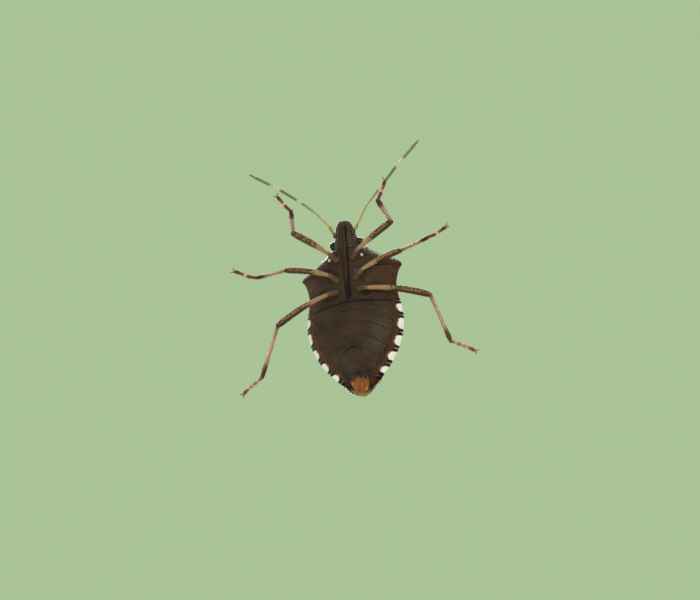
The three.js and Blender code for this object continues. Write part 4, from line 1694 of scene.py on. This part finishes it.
# %% Feelers
FEELERS = {
    "left": [(0.98, -7.95, 2.72), (1.2, -8.38, 2.8), (2.1, -10.08, 3.1), (3.3, -11.35, 3.2),
             (5.12, -13.25, 3.2), (7.1, -14.95, 3.1)],
    "right": [(-0.92, -7.95, 2.72), (-1.16, -8.6, 2.8), (-2.22, -10.14, 3.1), (-3.5, -11.45, 3.2),
              (-5.35, -13.1, 3.2), (-7.65, -14.8, 3.1)],
}
FEELER_RADII = [0.13, 0.095, 0.095, 0.115, 0.13]
FEELER_DARK = [
    profile([(0, 0.0), (1, 0.1)]),
    profile([(0, 0.0), (0.7, 0.15), (1, 0.4)]),
    profile([(0, 0.3), (0.5, 0.6), (0.9, 0.75), (0.97, 0.1), (1, 0.1)]),
    profile([(0, 0.0), (0.12, 0.05), (0.2, 0.85), (0.85, 0.95), (0.93, 0.1), (1, 0.0)]),
    profile([(0, 0.0), (0.2, 0.0), (0.3, 0.8), (1, 0.9)]),
]
FEELER_AMBER = [1.0, 0.5, 0.3, 0.05, 0.0]
feeler_paths = {}


def feeler_width(k):
    """Radius along joint k, with a neck at the root and, but for the last, at the end."""
    def width(t):
        if k == len(FEELER_RADII) - 1:
            return FEELER_RADII[k] * (1 - 0.45 * hump(t, 0.035)) * (1 - 0.4 * smooth((t - 0.7) / 0.3))
        neck = 1 - 0.45 * hump(t, 0.035) - 0.25 * hump(t - 1, 0.03)
        return FEELER_RADII[k] * neck * (1 + 0.08 * t)
    return width


def add_feeler(side_name, joints):
    for k, (start, end) in enumerate(zip(joints, joints[1:])):
        start, end = np.array(start), np.array(end)
        path = [start, mix(start, end, 0.5) + np.array((0, 0, 0.03)), end]
        feeler_paths[(side_name, k)] = path
        bands = shades(lengthwise(FEELER_DARK[k]), FEELER_AMBER[k], 0.3)
        name = "%s_%d" % (side_name, k + 1)
        made = limb("feeler_" + name, path, feeler_width(k), bands, sides=18, count=60)
        finish_piece(made, feeler_horn, "feeler", "antenna_" + name)


for side_name, joints in FEELERS.items():
    add_feeler(side_name, joints)
print("feeler joints:", len(feeler_paths))

# %% [markdown]
# ### Bristles
#
# Legs and feelers carry short bristles that lean towards the tip. Each is a three-sided spike on a
# seeded random spot of its limb, and all bristles of a limb make one mesh, which is light to draw.

# %% Bristles
random.seed(7)
SPIKE_RADIUS = 0.009
BRISTLE_STEPS = 60


def bristle_mesh(name, points, radius, count, length, start=0.05, end=0.97):
    """Leaning spikes of about one length, strewn over a limb between two places along it."""
    path = smooth_path(points, BRISTLE_STEPS)
    ahead, across, over = frames_along(path)
    vertices, faces = [], []
    for _ in range(count):
        place = random.uniform(start, end)
        i = int(place * (BRISTLE_STEPS - 1))
        turn = random.uniform(0, 2 * math.pi)
        out = across[i] * math.cos(turn) + over[i] * math.sin(turn)
        thick = float(radius(np.array(place)))
        root = path[i] + out * (thick * 0.92)
        lean = out * random.uniform(0.5, 0.9) + ahead[i] * random.uniform(0.5, 1.0)
        tip = root + lean * length * random.uniform(0.7, 1.2)
        tip[2] = max(tip[2], 0.01)
        flank = np.cross(out, ahead[i])
        first = len(vertices)
        for k in range(3):
            angle = 2 * math.pi * k / 3
            vertices.append(root + SPIKE_RADIUS * (flank * math.cos(angle) + ahead[i] * math.sin(angle)))
        vertices.append(tip)
        faces += [(first, first + 1, first + 3), (first + 1, first + 2, first + 3),
                  (first + 2, first, first + 3), (first, first + 2, first + 1)]
    mesh = bpy.data.meshes.new(name)
    mesh.from_pydata(to_scene(vertices).tolist(), [], faces)
    mesh.update()
    return add_object(name, mesh)


for label, leg in LEGS.items():
    kind = label.split("_")[0]
    strewn = (
        ("shin", "leg", shin_path(leg), SHIN[kind], 90, 0.16),
        ("foot", "foot", foot_points(leg), foot_width, 70, 0.1, 0.02, 0.8),
        ("thigh", "leg", thigh_path(leg, kind), THIGH[kind], 40, 0.08, 0.4),
    )
    for part, slot, *numbers in strewn:
        finish_piece(bristle_mesh("%s_%s_bristles" % (label, part), *numbers), hair, slot)
for (side_name, k), points in feeler_paths.items():
    feeler_hair = bristle_mesh(
        "feeler_%s_bristles_%d" % (side_name, k + 1), points,
        lambda t: FEELER_RADII[k] * 0.95, 20 + 14 * k, 0.07,
    )
    finish_piece(feeler_hair, hair, "feeler")
    tell(feeler_hair)

# %% [markdown]
# ### Pale knobs beside the front hips
#
# Beside each front hip sits a small glossy near-white lump, and a dark patch is painted on the belly
# next to it. Two small lumps do it; a bright spot in the belly's colour would lack the highlight.

# %% Pale knobs
pearl, tree = new_material("pale_knob")
cloud = use_group(tree, MOTTLE, object_place(tree), Per_mm=5.0).outputs["Coarse"]
cream = layered(tree, rgb(252, 246, 236), (cloud, rgb(220, 208, 190)))
link(tree, cream, skin_shader(tree, 0.2, coat=0.5).inputs["Base Color"])
for side_name, side in SIDES:
    knob_at = (side * 1.38, -5.45, 2.33)
    knob = lump("pale_knob_" + side_name, knob_at, (0.13, 0.14, 0.12), 16, 22)
    finish_piece(knob, pearl, "belly")
    tell(knob)

# %% [markdown]
# ## Wings and scutellum
#
# At rest the wings lie flat: a long triangle from the shield, the scutellum, wedged between two leathery
# forewings, and two clear films that overlap behind it. Each plate is a little curved and rounds down to
# the abdomen at its edge.

# %% Scutellum
SCUTELLUM_TIP = 1.3
SCUTELLUM_LIFT = 0.05
EDGE_ROUNDING = 0.16
SWELLING = 0.08
FRONT_GROOVE = 0.1
scutellum_width = profile([
    (-3.9, 2.62), (-3.3, 2.4), (-2, 1.78), (-1, 1.32), (0, 1.0), (0.8, 0.7), (1.15, 0.42), (1.3, 0.16),
])


def scutellum_front_at(x):
    return shield_rear_at(x / 4.3) - 0.05


def scutellum_plan(u, v):
    y = mix(scutellum_front_at(u * 2.4), SCUTELLUM_TIP, v)
    return u * scutellum_width(y), y


def scutellum_top(x, y):
    side = np.minimum(1, np.abs(x) / scutellum_width(y))
    raised = SWELLING * hump(y + 2.9, 0.5) * (1 - side**2)
    groove = FRONT_GROOVE * hump(y - scutellum_front_at(x), 0.08)
    return cover_at(x, y) + SCUTELLUM_LIFT - EDGE_ROUNDING * side**8 + raised - groove


scutellum = plate(
    "scutellum_skin", scutellum_plan, scutellum_top, lambda x, y: deck_at(x, y) + 0.1,
    crowded(91), even(110),
)
finish_piece(scutellum, scutellum_skin, "back", "scutellum")
tell(scutellum)

# %% [markdown]
# ### Leathery forewings
#
# The front half of a forewing is stiff leather. It runs from the shield to behind the scutellum, with
# a groove beside the scutellum and one raised vein. Its underside follows the abdomen's deck.

# %% Leathery forewings
CORIUM_INNER_REAR = 0.95
CORIUM_OUTER_REAR = 2.65
CLAVUS_GROOVE = 0.07
INNER_GROOVE = 0.1
VEIN_HEIGHT = 0.035


def corium_plan(side):
    def plan(u, v):
        front = scutellum_front_at(mix(2.3, 3.9, u))
        y = mix(front, mix(CORIUM_INNER_REAR, CORIUM_OUTER_REAR, u) + 0.05, v)
        return side * mix(scutellum_width(y) - 0.02, wing_width(y), u), y
    return plan


def corium_top(x, y):
    out = np.abs(x)
    clavus = -CLAVUS_GROOVE * hump(out - scutellum_width(y) - 0.62, 0.04) * smooth((1.0 - y) / 0.5)
    inner = -INNER_GROOVE * hump(out - scutellum_width(y), 0.07)
    beside = out - mix(3.1, 2.35, np.clip((y + 3) / 5.5, 0, 1))
    vein = VEIN_HEIGHT * hump(beside, 0.07) * smooth((1.9 - y) / 0.6)
    return cover_at(x, y) + clavus + inner + vein


for side_name, side in SIDES:
    corium = plate(
        "forewing_%s_skin" % side_name, corium_plan(side), corium_top,
        lambda x, y: deck_at(x, y) + 0.05, even(80) ** 0.85, even(140),
    )
    finish_piece(corium, wing_skin, "back", "forewing_" + side_name)
    tell(corium)

# %% [markdown]
# ### Film wings
#
# The rear half of each forewing is a thin film with veins that fan out. The two films overlap, so the
# left one lies a little higher. They sag at the tip, where nothing lies under them.

# %% Film wings
FILM_TIP = 6.42
FILM_THICKNESS = 0.045
FILM_ROUNDING = 0.36
FILM_SINK = 0.22
FILM_DROOP = 0.42
FILM_OVERLAP = 0.09
FILM_CREASE = 0.02
FILM_VEIN_RISE = 0.03
VEINS = [-0.78, -0.52, -0.27, 0.06, 0.33, 0.58, 0.82]


def film_front_at(x):
    out = np.abs(x)
    inner = 0.9
    slope = (CORIUM_OUTER_REAR - CORIUM_INNER_REAR) / (wing_width(CORIUM_OUTER_REAR) - inner)
    near = SCUTELLUM_TIP - 0.1 - 0.35 * (out / inner) ** 2
    far = SCUTELLUM_TIP - 0.45 + slope * (out - inner)
    return np.where(out < inner, near, far)


def film_spread(y):
    return wing_width(np.maximum(y, CORIUM_OUTER_REAR))


def film_plan(side):
    def plan(u, v):
        reach = mix(-0.6, 1.0, u)
        x_front = reach * float(wing_width(CORIUM_OUTER_REAR))
        y = mix(film_front_at(x_front), FILM_TIP - FILM_ROUNDING * reach**2, v)
        spread = mix(film_spread(y), wing_width(y), v)
        return side * reach * spread, y
    return plan


print("films end at y =", FILM_TIP, "mm")

# %% [markdown]
# ### Veins and level of the films
#
# The veins are raised a little and also drive the colour and the clearness. A soft crease keeps the film
# from looking like flat plastic.

# %% Film meshes


def vein_mask(x, y):
    across = x / np.maximum(mix(film_spread(y), wing_width(y), 0.7), 0.05)
    lines = np.maximum.reduce([hump(across - at, 0.02 + 0.004 * (y - 1.5)) for at in VEINS])
    return lines * smooth((6.35 - y) / 0.5) * smooth((y - film_front_at(x) - 0.35) / 0.25)


def film_level(side):
    """The underside of a film; the left one lies over the right one."""
    lift = FILM_OVERLAP if side > 0 else 0.0

    def level(x, y):
        across = np.minimum(1, np.abs(x) / wing_width(y))
        crease = FILM_CREASE * np.sin(x * 5.0 + y * 1.3) * np.cos(y * 2.4 - x)
        low = FILM_SINK + FILM_DROOP * smooth((y - 5.0) / 1.3)
        return cover_at(x, y) - low + lift * (1 - across**6) + crease * (1 - across**4)
    return level


for side_name, side in SIDES:
    level = film_level(side)
    film_wing = plate(
        "film_wing_" + side_name, film_plan(side),
        lambda x, y: level(x, y) + FILM_THICKNESS + FILM_VEIN_RISE * vein_mask(x, y),
        lambda x, y: level(x, y) - FILM_VEIN_RISE / 2 * vein_mask(x, y),
        even(130), even(120), values={"vein": vein_mask},
    )
    replaced = ("wing_membranes",) if side > 0 else ()
    finish_piece(film_wing, film, "membrane", *replaced)
    tell(film_wing)
